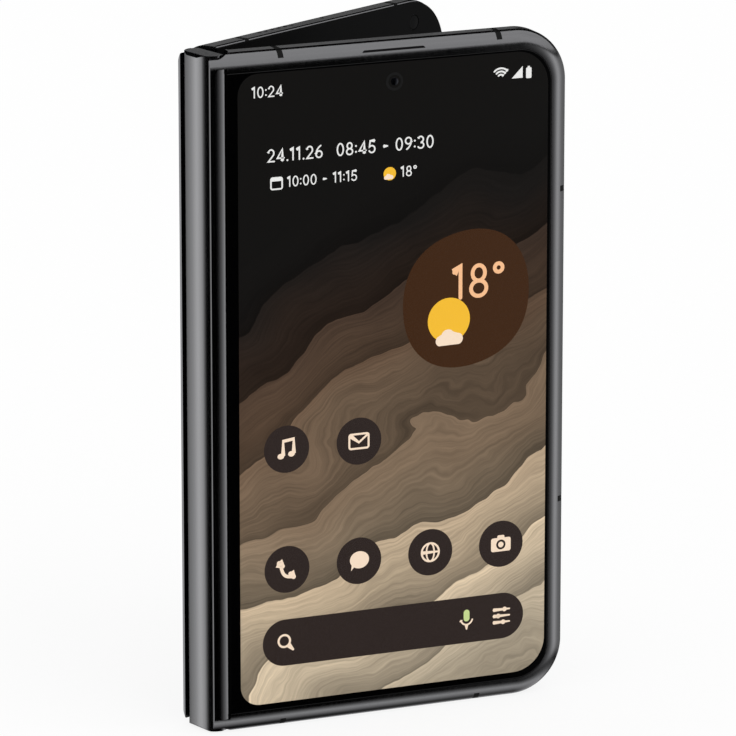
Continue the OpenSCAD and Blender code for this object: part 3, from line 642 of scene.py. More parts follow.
@dataclass(frozen=True)
class DunePicture(Finish):
    """Generic wallpaper of the lit display: dunes from black down to cream."""

    def build(self) -> bpy.types.Material:
        """The Blender material."""
        tree = Tree(self.name)
        flat = tree.place((1000, 0, 1000))
        slope = math.radians(27)
        across = tree.place((1000, 0, 1000), (0, slope, 0))
        height = tree.add("SeparateXYZ")
        tree.plug(height, 0, flat)
        tilted = tree.add("SeparateXYZ")
        tree.plug(tilted, 0, across)
        swell = tree.noise(flat, 0.021, 2.0, 0.45)
        ripple = tree.noise(flat, 0.06, 3.0, 0.5)
        rise = tree.math("ADD", tilted.outputs["Z"], tree.math("MULTIPLY", swell, 46.0))
        rise = tree.math("ADD", rise, tree.math("MULTIPLY", ripple, 9.0))
        layer = tree.math("DIVIDE", rise, 15.0)
        crest = tree.math("FRACT", layer)
        number = tree.math("FLOOR", layer)
        pick = tree.add("TexWhiteNoise", noise_dimensions="1D")
        tree.plug(pick, "W", number)
        threads = tree.add("CombineXYZ")
        tree.plug(threads, "X", tree.math("MULTIPLY", tilted.outputs["X"], 0.05))
        tree.plug(threads, "Z", tree.math("MULTIPLY", rise, 1.7))
        grain = tree.noise(threads.outputs[0], 1.0, 4.0, 0.65)
        level = tree.math("ADD", tree.math("DIVIDE", height.outputs["Z"], 139.7),
                          tree.math("MULTIPLY", tree.math("SUBTRACT", swell, 0.5), 0.35))
        level = tree.math("SUBTRACT", level, tree.math("MULTIPLY", height.outputs["X"], 0.0026))
        ground = tree.ramp(level, (
            (0.0, linear(214, 198, 172)), (0.2, linear(196, 176, 148)), (0.36, linear(150, 127, 103)),
            (0.5, linear(98, 77, 60)), (0.62, linear(58, 44, 35)), (0.74, linear(30, 26, 24)),
            (0.86, linear(20, 19, 18))))
        shade = tree.spread(crest, 0.35, 1.18, 0.0, 1.0)
        shade = tree.math("MULTIPLY", shade, tree.spread(pick.outputs[0], 0.72, 1.12, 0.0, 1.0))
        shade = tree.math("MULTIPLY", shade, tree.spread(grain, 0.72, 1.22))
        light = tree.add("CombineXYZ")
        for key in "XYZ":
            tree.plug(light, key, shade)
        lit = tree.mix(1.0, ground, light.outputs[0], "MULTIPLY")
        calm = tree.spread(level, 0.0, 1.0, 0.66, 0.84)
        tree.set(Base_Color=tree.mix(calm, lit, linear(20, 19, 18)), Roughness=0.3, Specular_IOR_Level=0.15)
        return tree.material


class Finishes:
    """Every finish of the phone, each made once."""

    def __init__(self, place: Placer, sizes: PhoneSizes) -> None:
        """Makes all the materials.

        Args:
            place: where the halves are, for finishes with a centre.
            sizes: the phone's sizes.
        """
        coil = place.point(Station.REAR, sizes.half_w / 2 - 1.75, 1.5, 55)
        flash = place.point(Station.REAR, 84.35 - 26.5 + 8.0, -2.0, sizes.body_h - 24.5)
        finishes: list[Finish] = [
            PolishedMetal("black_metal", (0.30, 0.30, 0.31)),
            PolishedMetal("spine_metal", (0.36, 0.36, 0.37), 0.2),
            PolishedMetal("lens_ring_metal", (0.42, 0.42, 0.44), 0.12),
            DarkGlass("black_glass", (0.0006, 0.0006, 0.0007)),
            DarkGlass("inner_screen", (0.0004, 0.0004, 0.0005), 0.06, 0.12),
            SatinPlastic("band_plastic", (0.003, 0.003, 0.003), 0.42, shine=0.2),
            SatinPlastic("bezel_plastic", (0.0012, 0.0012, 0.0014), 0.4, 6000.0, 0.1),
            SatinPlastic("dark_housing", (0.012, 0.012, 0.014), 0.45, 3000.0),
            SatinPlastic("slot_black", (0.002, 0.002, 0.002), 0.6),
            MachinedMetal("chassis", (0.36, 0.36, 0.37), 0.38, 1800.0),
            MachinedMetal("steel", (0.56, 0.57, 0.59), 0.28),
            MachinedMetal("mesh_metal", (0.10, 0.10, 0.105), 0.4, 5200.0),
            FoilPouch("cell_foil", (0.20, 0.20, 0.22)),
            CircuitBoard("board_mask", (0.025, 0.09, 0.055)),
            WoundCopper("coil_copper", (0.72, 0.40, 0.22), tuple(coil)),
            LensCoat("lens_coat", (0.0008, 0.0009, 0.0012)),
            DarkGlass("small_lens", (0.0004, 0.0004, 0.0006), 0.1, 0.15),
            FlashLens("flash_lens", (0.85, 0.80, 0.62), tuple(flash)),
            DunePicture("dune_picture", (0.5, 0.4, 0.3)),
            PrintedColour("sign_dark", linear(51, 41, 38)),
            PrintedColour("sign_brown", linear(68, 40, 18)),
            PrintedColour("sign_cream", linear(255, 230, 204)),
            PrintedColour("sign_white", linear(240, 240, 238)),
            PrintedColour("sign_peach", linear(255, 196, 146)),
            PrintedColour("sign_sun", linear(252, 194, 44)),
            PrintedColour("sign_green", linear(206, 226, 150)),
        ]
        self.made = {finish.name: finish.build() for finish in finishes}

    def __getitem__(self, name: str) -> bpy.types.Material:
        """The material of that name."""
        return self.made[name]


# ------------------------------------------------------------------ workshop


class Workshop:
    """Makes meshes in a half's millimetres and sets them on their bodies."""

    def __init__(self, sizes: PhoneSizes, place: Placer, finishes: Finishes) -> None:
        """Keeps what every maker needs."""
        self.sizes = sizes
        self.place = place
        self.finishes = finishes

    @staticmethod
    def _link(name: str, data: bpy.types.ID) -> bpy.types.Object:
        """New object in the scene."""
        obj = bpy.data.objects.new(name, data)
        bpy.context.scene.collection.objects.link(obj)
        return obj

    def _evaluated(self, obj: bpy.types.Object, name: str) -> bpy.types.Mesh:
        """Plain mesh of an object with its modifiers, and the object is removed."""
        graph = bpy.context.evaluated_depsgraph_get()
        mesh = bpy.data.meshes.new_from_object(obj.evaluated_get(graph))
        mesh.name = name
        bpy.data.objects.remove(obj)
        return mesh

    def plate(self, name: str, loops: Sequence[Loop], y0: float, y1: float, bevel: float = 0.0) -> bpy.types.Mesh:
        """Flat plate from outlines in x and z, inner outlines being holes.

        Args:
            name: mesh name.
            loops: outlines.
            y0: lower face.
            y1: upper face.
            bevel: rounding of its edges.

        Returns:
            The mesh, in millimetres.
        """
        curve = bpy.data.curves.new(name, "CURVE")
        curve.dimensions = "2D"
        curve.fill_mode = "BOTH"
        curve.extrude = (y1 - y0) / 2 - bevel
        curve.bevel_depth = bevel
        curve.bevel_resolution = 3
        curve.offset = -bevel
        for loop in loops:
            spline = curve.splines.new("POLY")
            spline.points.add(len(loop) - 1)
            for point, (x, z) in zip(spline.points, loop):
                point.co = (x, z, 0, 1)
            spline.use_cyclic_u = True
        mesh = self._evaluated(self._link(name, curve), name)
        bpy.data.curves.remove(curve)
        mesh.transform(Matrix.Translation((0, (y0 + y1) / 2, 0)) @ Matrix.Rotation(math.pi / 2, 4, "X"))
        return mesh

    @staticmethod
    def grid(name: str, rows: Sequence[Sequence[Sequence[float]]], round_u: bool = True,
             caps: bool = True) -> bpy.types.Mesh:
        """Skin over rows of points.

        Args:
            name: mesh name.
            rows: rows of (x, y, z), all of one length.
            round_u: whether each row is a closed ring.
            caps: whether the first and last rows are filled.

        Returns:
            The mesh, in millimetres.
        """
        bm = bmesh.new()
        rings = [[bm.verts.new(point) for point in row] for row in rows]
        span = len(rings[0])
        for low, high in zip(rings, rings[1:]):
            for i in range(span if round_u else span - 1):
                j = (i + 1) % span
                bm.faces.new((low[i], low[j], high[j], high[i]))
        if caps:
            bm.faces.new(rings[0][::-1])
            bm.faces.new(rings[-1])
        bmesh.ops.remove_doubles(bm, verts=bm.verts, dist=0.0005)
        bmesh.ops.recalc_face_normals(bm, faces=bm.faces)
        mesh = bpy.data.meshes.new(name)
        bm.to_mesh(mesh)
        bm.free()
        return mesh

    def lathe(self, name: str, profile: Sequence[Point], x: float, z: float, steps: int = 72) -> bpy.types.Mesh:
        """Turned piece round an axis along y.

        Args:
            name: mesh name.
            profile: (radius, y) from one pole or rim to the other, closed by itself.
            x: axis.
            z: axis.
            steps: points round it.

        Returns:
            The mesh, in millimetres.
        """
        turns = [2 * math.pi * i / steps for i in range(steps)]
        rows = [[(x + max(r, 1e-5) * math.cos(a), y, z + max(r, 1e-5) * math.sin(a)) for a in turns]
                for r, y in profile]
        return self.grid(name, rows, True, False)

    def prism(self, name: str, section: Loop, z0: float, z1: float) -> bpy.types.Mesh:
        """Straight bar up z, from a section in x and y."""
        return self.grid(name, [[(x, y, z) for x, y in section] for z in (z0, z1)])

    @staticmethod
    def join(name: str, meshes: Sequence[bpy.types.Mesh]) -> bpy.types.Mesh:
        """One mesh from several."""
        bm = bmesh.new()
        for mesh in meshes:
            bm.from_mesh(mesh)
            bpy.data.meshes.remove(mesh)
        made = bpy.data.meshes.new(name)
        bm.to_mesh(made)
        bm.free()
        return made

    def cut(self, mesh: bpy.types.Mesh, cutters: Sequence[bpy.types.Mesh]) -> bpy.types.Mesh:
        """Mesh less the cutters, by exact booleans."""
        name = mesh.name
        obj = self._link(name, mesh)
        others = [self._link("cutter", cutter) for cutter in cutters]
        for other in others:
            change = obj.modifiers.new("cut", "BOOLEAN")
            change.operation = "DIFFERENCE"
            change.solver = "EXACT"
            change.object = other
        made = self._evaluated(obj, name)
        for other in others:
            bpy.data.objects.remove(other)
        return made

    def end_cutters(self, reach: tuple[float, float],
                    span: Callable[[float, float], Sequence[tuple[float, float, float]]],
                    edge: float, end: float) -> list[bpy.types.Mesh]:
        """Cutters that round an edge off at both ends.

        Args:
            reach: size of the rounding across the edge and along the phone's height.
            span: gives the first and last point of the cutter's line through a point of the corner.
            edge: where the rounded face lies.
            end: how far the piece's ends lie inside the phone's.

        Returns:
            One cutter for each end.
        """
        across, along = reach
        corner = [(edge + across * (1 - math.sin(a)), end + along * (1 - math.cos(a))) for a in quarter(20)]
        corner += [(edge - 2, end + along), (edge - 2, end - 2), (edge + across, end - 2)]
        body_h = self.sizes.body_h
        made = []
        for loop in (corner, [(a, body_h - z) for a, z in corner]):
            made.append(self.grid("end", [[span(a, z)[k] for a, z in loop] for k in (0, 1)]))
        return made

    def settle(self, mesh: bpy.types.Mesh, station: Station, body: str, finish: str, slot: str,
               replaces: Sequence[str] = (), weighted: bool = True) -> bpy.types.Object:
        """Places a mesh, smooths it, gives it its finish and sets it on its body.

        Args:
            mesh: the mesh, in the station's millimetres; its name names the piece.
            station: where it was drawn.
            body: the body it moves with.
            finish: its material.
            slot: the record's material slot; not used.
            replaces: solids that it stands for.
            weighted: whether large faces lead the shading.

        Returns:
            The piece.
        """
        matrix = self.place.matrices[station]
        mesh.transform(matrix)
        if matrix.determinant() < 0:
            mesh.flip_normals()
        obj = self.dress(mesh, finish, weighted)
        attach(obj, body)
        self.note(obj, slot, replaces)
        return obj

    def dress(self, mesh: bpy.types.Mesh, finish: str, weighted: bool = True) -> bpy.types.Object:
        """Smooth shading and a material."""
        mesh.shade_smooth()
        mesh.set_sharp_from_angle(angle=SHARP)
        mesh.materials.clear()
        mesh.materials.append(self.finishes[finish])
        obj = self._link(mesh.name, mesh)
        if weighted:
            change = obj.modifiers.new("even", "WEIGHTED_NORMAL")
            change.keep_sharp = True
        return obj

    @staticmethod
    def note(obj: bpy.types.Object, slot: str, replaces: Sequence[str]) -> None:
        """Hides the replaced solids and writes a line in the log."""
        if replaces:
            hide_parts(*replaces)
        log.info("piece %s: %d faces", obj.name, len(obj.data.polygons))

    def copies(self, name: str, part: bpy.types.Mesh, start: Sequence[float],
               steps: Sequence[tuple[int, Sequence[float]]], finish: str) -> bpy.types.Mesh:
        """Rows of one part, laid out by Geometry Nodes.

        Args:
            name: mesh name.
            part: the part that repeats, drawn round the origin, in millimetres.
            start: place of the first copy.
            steps: count and spacing along the row and from row to row.
            finish: material set in the tree.

        Returns:
            One plain mesh with every copy.
        """
        tree = bpy.data.node_groups.new("Rows", "GeometryNodeTree")
        face = tree.interface
        face.new_socket("Result", in_out="OUTPUT", socket_type="NodeSocketGeometry")
        kinds = {"Part": "NodeSocketObject", "Start": "NodeSocketVector", "Count": "NodeSocketInt",
                 "Step": "NodeSocketVector", "Rows": "NodeSocketInt", "Row Step": "NodeSocketVector",
                 "Finish": "NodeSocketMaterial"}
        keys = {key: face.new_socket(key, in_out="INPUT", socket_type=kind).identifier
                for key, kind in kinds.items()}
        into = tree.nodes.new("NodeGroupInput").outputs

        def node(kind: str, **links: bpy.types.NodeSocket) -> bpy.types.Node:
            """New node with its inputs linked."""
            new = tree.nodes.new("GeometryNode" + kind)
            for key, socket in links.items():
                tree.links.new(socket, new.inputs[key.replace("_", " ")])
            return new

        row = node("MeshLine", Count=into["Count"], Offset=into["Step"])
        rows = node("MeshLine", Count=into["Rows"], Start_Location=into["Start"], Offset=into["Row Step"])
        lattice = node("InstanceOnPoints", Points=rows.outputs[0], Instance=row.outputs[0])
        points = node("RealizeInstances", Geometry=lattice.outputs[0])
        info = node("ObjectInfo", Object=into["Part"])
        spread = node("InstanceOnPoints", Points=points.outputs[0], Instance=info.outputs["Geometry"])
        solid = node("RealizeInstances", Geometry=spread.outputs[0])
        dressed = node("SetMaterial", Geometry=solid.outputs[0], Material=into["Finish"])
        tree.links.new(dressed.outputs[0], tree.nodes.new("NodeGroupOutput").inputs[0])

        seed = self._link("part", part)
        obj = self._link(name, bpy.data.meshes.new(name))
        change = obj.modifiers.new("rows", "NODES")
        change.node_group = tree
        (count, step), (row_count, row_step) = steps
        for key, value in (("Part", seed), ("Start", tuple(start)), ("Count", count), ("Step", tuple(step)),
                           ("Rows", row_count), ("Row Step", tuple(row_step)),
                           ("Finish", self.finishes[finish])):
            change[keys[key]] = value
        mesh = self._evaluated(obj, name)
        bpy.data.objects.remove(seed)
        bpy.data.node_groups.remove(tree)
        return mesh


# ------------------------------------------------------------------ one half's shell


@dataclass
class HalfShell:
    """Frame, rail, bands, glass, bezel and inner screen of one half."""

    shop: Workshop
    station: Station
    prefix: str
    band_near_x: float = 17.0
    band_top_x: float = 64.3
    band_low_x: float = 60.0
    band_side_down: float = 33.4
    band_side_z: float = 41.1
    strip_w: float = 0.5
    groove_w: float = 0.35
    groove_d: float = 0.35
    crown_fall: float = 20.0
    rail_edge_r: float = 0.3
    rail_end_r: float = 0.8
    rail_end: float = 2.9
    band_reach: float = 1.6
    room_margin: float = 2.0
    room_far: float = 9.0
    room_y: tuple[float, float] = (4.7, 7.0)

    @property
    def body(self) -> str:
        """The body that this half's pieces ride on."""
        return self.station.value

    @property
    def straight(self) -> float:
        """Length of the outline from the rail to the corner."""
        q = self.shop.sizes
        return q.half_w - q.corner_r - q.rail_in

    @property
    def bend(self) -> float:
        """Length of the outline round one corner."""
        return self.shop.sizes.corner_r * math.pi / 2

    @property
    def side(self) -> float:
        """Length of the outline between the corners."""
        q = self.shop.sizes
        return q.body_h - 2 * q.corner_r

    def put(self, mesh: bpy.types.Mesh, finish: str, slot: str, replaces: Sequence[str] = (),
            weighted: bool = True) -> None:
        """Settles a mesh on this half."""
        self.shop.settle(mesh, self.station, self.body, finish, slot, replaces, weighted)

    def station_at(self, s: float) -> tuple[float, float, float, float]:
        """Point of the frame's outline and its inward direction.

        Args:
            s: length along the outline, from the rail over the top, down the side and back below.

        Returns:
            x, z and the inward direction's x and z.
        """
        q = self.shop.sizes
        bend, side = self.bend, self.side
        cx = q.half_w - q.corner_r
        if s <= self.straight:
            return q.rail_in + s, q.body_h, 0, -1
        s -= self.straight
        if s <= bend:
            a = s / q.corner_r
            return (cx + q.corner_r * math.sin(a), q.body_h - q.corner_r * (1 - math.cos(a)),
                    -math.sin(a), -math.cos(a))
        s -= bend
        if s <= side:
            return q.half_w, q.body_h - q.corner_r - s, -1, 0
        s -= side
        if s <= bend:
            a = s / q.corner_r
            return (cx + q.corner_r * math.cos(a), q.corner_r * (1 - math.sin(a)),
                    -math.cos(a), math.sin(a))
        return cx - (s - bend), 0, 0, 1

    def frame_section(self) -> Loop:
        """Section of the side frame: inwards, and from the outer face."""
        q = self.shop.sizes
        lip = 0.1
        ledge = q.glass_t + q.seam
        front = [(q.edge_w * (1 - math.cos(a)), q.edge_r * (1 - math.sin(a))) for a in quarter(22)]
        rim = [(q.rim_r * (1 - math.cos(a)), q.frame_y - q.rim_r * (1 - math.sin(a)))
               for a in quarter(8)[::-1]]
        rest = [(q.edge_w + 0.04, lip), (q.edge_w + 0.04, ledge), (q.wall_t, ledge), (q.wall_t, q.frame_y)]
        return front + rest + rim

    def sweep(self, name: str, section: Loop, start: float, end: float) -> bpy.types.Mesh:
        """Section carried along part of the frame's outline."""
        marks = {start, end}
        for first in (self.straight, self.straight + self.bend + self.side):
            marks |= {first + self.bend * i / 40 for i in range(41)}
        marks = sorted(m for m in marks if start <= m <= end)
        rows = []
        for s in marks:
            x, z, nx, nz = self.station_at(s)
            rows.append([(x + u * nx, y, z + u * nz) for u, y in section])
        return self.shop.grid(name, rows)

    def band_marks(self) -> list[float]:
        """Middle of each antenna band along the outline."""
        q = self.shop.sizes
        straight, bend, side = self.straight, self.bend, self.side
        past_side = straight + 2 * bend + side
        cx = q.half_w - q.corner_r
        return [
            self.band_near_x - q.rail_in, self.band_top_x - q.rail_in,
            straight + bend + self.band_side_down - q.corner_r,
            straight + bend + q.body_h - q.corner_r - self.band_side_z,
            past_side + cx - self.band_low_x, past_side + cx - self.band_near_x,
        ]

    def frame(self, cutters: Callable[[], list[bpy.types.Mesh]] | None = None) -> None:
        """Side frame in its seven lengths, and the six bands between them."""
        q = self.shop.sizes
        total = 2 * self.straight + q.corner_r * math.pi + q.body_h - 2 * q.corner_r
        edges = [0.0]
        bands, bridges = [], []
        for mark in self.band_marks():
            low, high = mark - q.band_w / 2, mark + q.band_w / 2
            edges += [low, high]
            bands.append(self.sweep("band", self.band_section(), low + 0.01, high - 0.01))
            bridges.append(self.sweep("bridge", self.bridge_section(), low, high))
        edges.append(total)
        section = self.frame_section()
        lengths = [self.sweep("length", section, a, b) for a, b in zip(edges[::2], edges[1::2])]
        mesh = self.shop.join(self.prefix + "_frame_metal", lengths)
        if cutters:
            mesh = self.shop.cut(mesh, cutters())
        mesh = self.shop.join(self.prefix + "_frame_metal", [mesh, *bridges])
        self.put(mesh, "black_metal", "black_metal", [self.prefix + "_frame"])
        self.put(self.shop.join(self.prefix + "_frame_bands", bands), "band_plastic", "band_plastic",
                 [self.prefix + "_antenna_bands"])

    def edge_y(self, inward: float) -> float:
        """Depth of the frame's rounding at a distance inward from its side."""
        q = self.shop.sizes
        return q.edge_r * (1 - math.sqrt(max(0.0, 1 - ((q.edge_w - inward) / q.edge_w) ** 2)))

    def band_section(self) -> Loop:
        """The outer part of the frame's section, a hair lower, so that the bands sit in fine grooves."""
        q = self.shop.sizes
        sink, end = 0.03, self.band_reach - 0.02
        ledge = q.glass_t + q.seam
        outer = [(max(u, sink), y) for u, y in self.frame_section() if u < end and (u < 1 or y < q.edge_r)]
        front = [(u, y + sink) for u, y in outer if y < q.edge_r]
        rim = [(u, y) for u, y in outer if y >= q.edge_r]
        face = [p for p in rim if p[1] < q.frame_y - q.rim_r]
        back = [p for p in rim if p[1] >= q.frame_y - q.rim_r]
        step = [(end, self.edge_y(end) + sink), (end, ledge + sink), (q.wall_t, ledge + sink),
                (q.wall_t, q.frame_y)]
        return face[:1] + front + step + back

    def bridge_section(self) -> Loop:
        """The inner part of the frame's section, which runs on past the bands."""
        q = self.shop.sizes
        ledge = q.glass_t + q.seam
        marks = [self.band_reach + (q.edge_w - self.band_reach) * i / 10 for i in range(11)]
        return [(u, self.edge_y(u)) for u in marks] + [(q.edge_w + 0.04, 0.1), (q.edge_w + 0.04, ledge),
                                                       (self.band_reach, ledge)]

    def rail_section(self) -> Loop:
        """Section of the hinge rail in x and y, with its hollow for the spine."""
        q = self.shop.sizes
        x0, r = q.skin_x, self.rail_edge_r
        edge = [(x0 + r * (1 - math.sin(a)), r * (1 - math.cos(a))) for a in quarter(10)[::-1]]
        low = q.axis_y - q.cavity_r
        hollow = q.axis_in + q.cavity_r
        far = [(q.rail_in, 0.0), (q.rail_in, q.frame_y), (hollow, q.frame_y)]
        cavity = [(q.axis_in + q.cavity_r * math.cos(a), q.axis_y - q.cavity_r * math.sin(a))
                  for a in quarter(24)]
        return edge + far + cavity + [(x0 + 0.1, low), (x0, low - 0.1)]

    def crown_cutter(self) -> bpy.types.Mesh:
        """Cutter that leaves the rail's lip, groove and falling crown between its two ends."""
        q = self.shop.sizes
        groove_x = q.skin_x + self.strip_w
        crown_x = groove_x + self.groove_w
        crown_r = (q.rail_w - crown_x) / math.sin(math.radians(self.crown_fall))
        crown = [(crown_x + crown_r * math.sin(a), crown_r * (1 - math.cos(a)))
                 for a in (math.radians(self.crown_fall * (i + 0.4) / 20) for i in range(20))]
        loop = [(groove_x - 0.05, -1.0), (groove_x - 0.05, 0.0), (groove_x, 0.06), (groove_x + 0.02, self.groove_d),
                (crown_x - 0.02, self.groove_d), (crown_x, 0.03)]
        loop += crown + [(q.rail_w + q.seam, crown[-1][1]), (q.rail_w + q.seam, -1.0)]
        return self.shop.prism("crown", loop, self.rail_end, q.body_h - self.rail_end)

    def rail(self) -> None:
        """Hinge rail with rounded ends, a seat for the glass and room for the inner screen."""
        q = self.shop.sizes
        mesh = self.shop.prism("rail", self.rail_section(), 0.0, q.body_h)
        inset = q.edge_w + q.seam / 2
        seat = rounded(q.rail_w + q.seam / 2, inset, q.half_w, q.body_h - inset, (0.2,) * 4, 6)
        cutters = [self.crown_cutter(), self.shop.plate("seat", [seat], -1.0, q.glass_t + q.seam)]
        room_z = q.bezel_z - self.room_margin
        low, high = self.room_y
        room = [(q.axis_in, low), (self.room_far, low), (self.room_far, high), (q.axis_in, high)]
        cutters.append(self.shop.prism("room", room, room_z, q.body_h - room_z))
        cutters += self.shop.end_cutters((q.edge_r, q.edge_w), lambda a, z: [(-1.0, a, z), (9.0, a, z)], 0.0, 0.0)
        cutters += self.shop.end_cutters((self.rail_end_r,) * 2, lambda a, z: [(a, -1.0, z), (a, 7.0, z)],
                                         q.skin_x, 0.0)
        mesh = self.shop.cut(mesh, cutters)
        self.put(mesh, "black_metal", "black_metal", [self.prefix + "_hinge_rail"])

    def glass_outline(self) -> Loop:
        """Outline of the outer glass."""
        q = self.shop.sizes
        inset = q.edge_w + q.seam
        corner = q.corner_r - inset
        return rounded(q.rail_w + q.seam, inset, q.half_w - inset, q.body_h - inset,
                       (0.2, corner, corner, 0.2), 24)

    def outer_glass(self, name: str, node: str) -> None:
        """Outer glass with a polished edge."""
        mesh = self.shop.plate(name, [self.glass_outline()], 0.0, self.shop.sizes.glass_t, 0.14)
        self.put(mesh, "black_glass", "black_glass", [node])

    def inside(self, holes: Sequence[Loop] = ()) -> None:
        """Inner bezel and the rigid part of the inner screen."""
        q = self.shop.sizes
        near = q.axis_in + q.cavity_r + q.seam
        outer_r = q.corner_r - q.bezel_inset
        outer = rounded(near, q.bezel_inset, q.half_w - q.bezel_inset, q.body_h - q.bezel_inset,
                        (0.2, outer_r, outer_r, 0.2), 20)
        far, low, high = q.half_w - q.bezel_x, q.bezel_z, q.body_h - q.bezel_z
        r = q.window_r
        notch = arc(far - r, low + r, r, r, 270, 360, 10) + arc(far - r, high - r, r, r, 0, 90, 10)
        outline = self.open_ring(outer, [(near, high), *notch[::-1], (near, low)])
        mesh = self.shop.plate(self.prefix + "_bezel", [outline, *holes], q.frame_y, q.half_t, 0.08)
        self.put(mesh, "bezel_plastic", "bezel_plastic", [self.prefix + "_inner_bezel"])
        start_x = q.axis_in + q.bend_out + q.seam
        panel = rounded(start_x, low + q.seam, far - q.seam, high - q.seam, (0.01, r, r, 0.01), 10)
        mesh = self.shop.plate(self.prefix + "_inner_screen", [panel], q.panel_y, q.panel_y + q.panel_t)
        self.put(mesh, "inner_screen", "inner_display", [self.prefix + "_inner_panel"])

    @staticmethod
    def open_ring(outer: Loop, inner: Loop) -> Loop:
        """Outline of the bezel, meant to run round its outside and back along its inside.

        Known fault: it starts at the wrong point, so it runs down the near side and back up. The filled
        plate covers the opening and leaves out the ring's far side and foot. Both loops come in order
        already, outer and then inner.

        Args:
            outer: the outside, anticlockwise from the foot of the near side.
            inner: the inside, from the top of the near side to its foot.

        Returns:
            The outline.
        """
        near = min(x for x, _ in outer)
        low = inner[-1][1]
        high = inner[0][1]
        keep = [p for p in outer if not (p[0] < near + 0.25 and low < p[1] < high)]
        first = min(range(len(keep)), key=lambda i: (keep[i][0] > near + 0.25 or keep[i][1] > low, keep[i][1]))
        return keep[first:] + keep[:first] + inner


@dataclass
class FrontHalf:
    """The half with the cover display."""

    shop: Workshop
    screen_near: float = 7.6
    screen_far: float = 4.65
    screen_low: float = 5.25
    screen_down: float = 4.3
    camera_down: float = 8.2
    earpiece_w: float = 13.7
    earpiece_h: float = 0.45
    earpiece_down: float = 1.74
    column_pitch: float = 15.75
    icon_r: float = 4.9

    def __post_init__(self) -> None:
        """The shell that this half is built on."""
        self.shell = HalfShell(self.shop, Station.FRONT, "front")

    @property
    def screen_x(self) -> float:
        """Middle of the picture."""
        return (self.screen_near + self.shop.sizes.half_w - self.screen_far) / 2

    def build(self) -> None:
        """Every piece of the front half."""
        self.shell.frame(self.slot_cutter)
        self.shell.rail()
        self.shell.inside()
        self.shell.outer_glass("front_cover_glass", "cover_glass")
        self.camera()
        self.earpiece()
        CoverPicture(self.shop, self).build()

    def slot_outline(self, grow: float = 0.0) -> Loop:
        """Earpiece slot with tapered ends, in the frame's rounding."""
        q = self.shop.sizes
        mid = q.body_h - self.earpiece_down
        reach, half = self.earpiece_w / 2 + grow, self.earpiece_h / 2 + grow
        x = self.screen_x
        return [(x - reach, mid - half), (x + reach, mid - half), (x + reach - half, mid + half * 0.4),
                (x + reach - half * 2.4, mid + half), (x - reach + half * 2.4, mid + half),
                (x - reach + half, mid + half * 0.4)]

    def slot_cutter(self) -> list[bpy.types.Mesh]:
        """Cutter for the slot."""
        return [self.shop.plate("cutter", [self.slot_outline()], -1.0, 1.6)]

    def camera(self) -> None:
        """Round window of the front camera, with its lens below."""
        z = self.shop.sizes.body_h - self.camera_down
        rim = [(1.86, -0.014), (1.86, 0.05), (1.3, 0.05), (1.3, -0.004), (1.42, -0.014), (1.86, -0.014)]
        self.shell.put(self.shop.lathe("front_camera_rim", rim, self.screen_x, z), "slot_black", "camera_black")
        dome = [(0.9 * i / 10, -0.1 + 0.12 * (i / 10) ** 2) for i in range(11)]
        lens = dome + [(0.95, 0.0), (1.3, -0.002), (1.3, 0.04), (0.0, 0.04)]
        self.shell.put(self.shop.lathe("front_camera_lens", lens, self.screen_x, z), "lens_coat", "camera_black")

    def earpiece(self) -> None:
        """Fine mesh in the earpiece slot: a dark strip with rows of round studs."""
        q = self.shop.sizes
        mid = q.body_h - self.earpiece_down
        back = self.shop.plate("back", [self.slot_outline(-0.02)], 0.95, 1.2)
        stud = self.shop.lathe("stud", [(0.0, -0.06), (0.05, -0.05), (0.075, 0.0), (0.075, 0.05), (0.0, 0.05)],
                               0, 0, 8)
        count = 58
        pitch = (self.earpiece_w - 1.6) / (count - 1)
        studs = self.shop.copies("studs", stud, (self.screen_x - (count - 1) * pitch / 2, 0.93, mid - 0.1),
                                 ((count, (pitch, 0, 0)), (2, (0, 0, 0.2))), "mesh_metal")
        self.shell.put(self.shop.join("front_earpiece_mesh", [back, studs]), "mesh_metal", "mesh",
                       ["earpiece_mesh"])


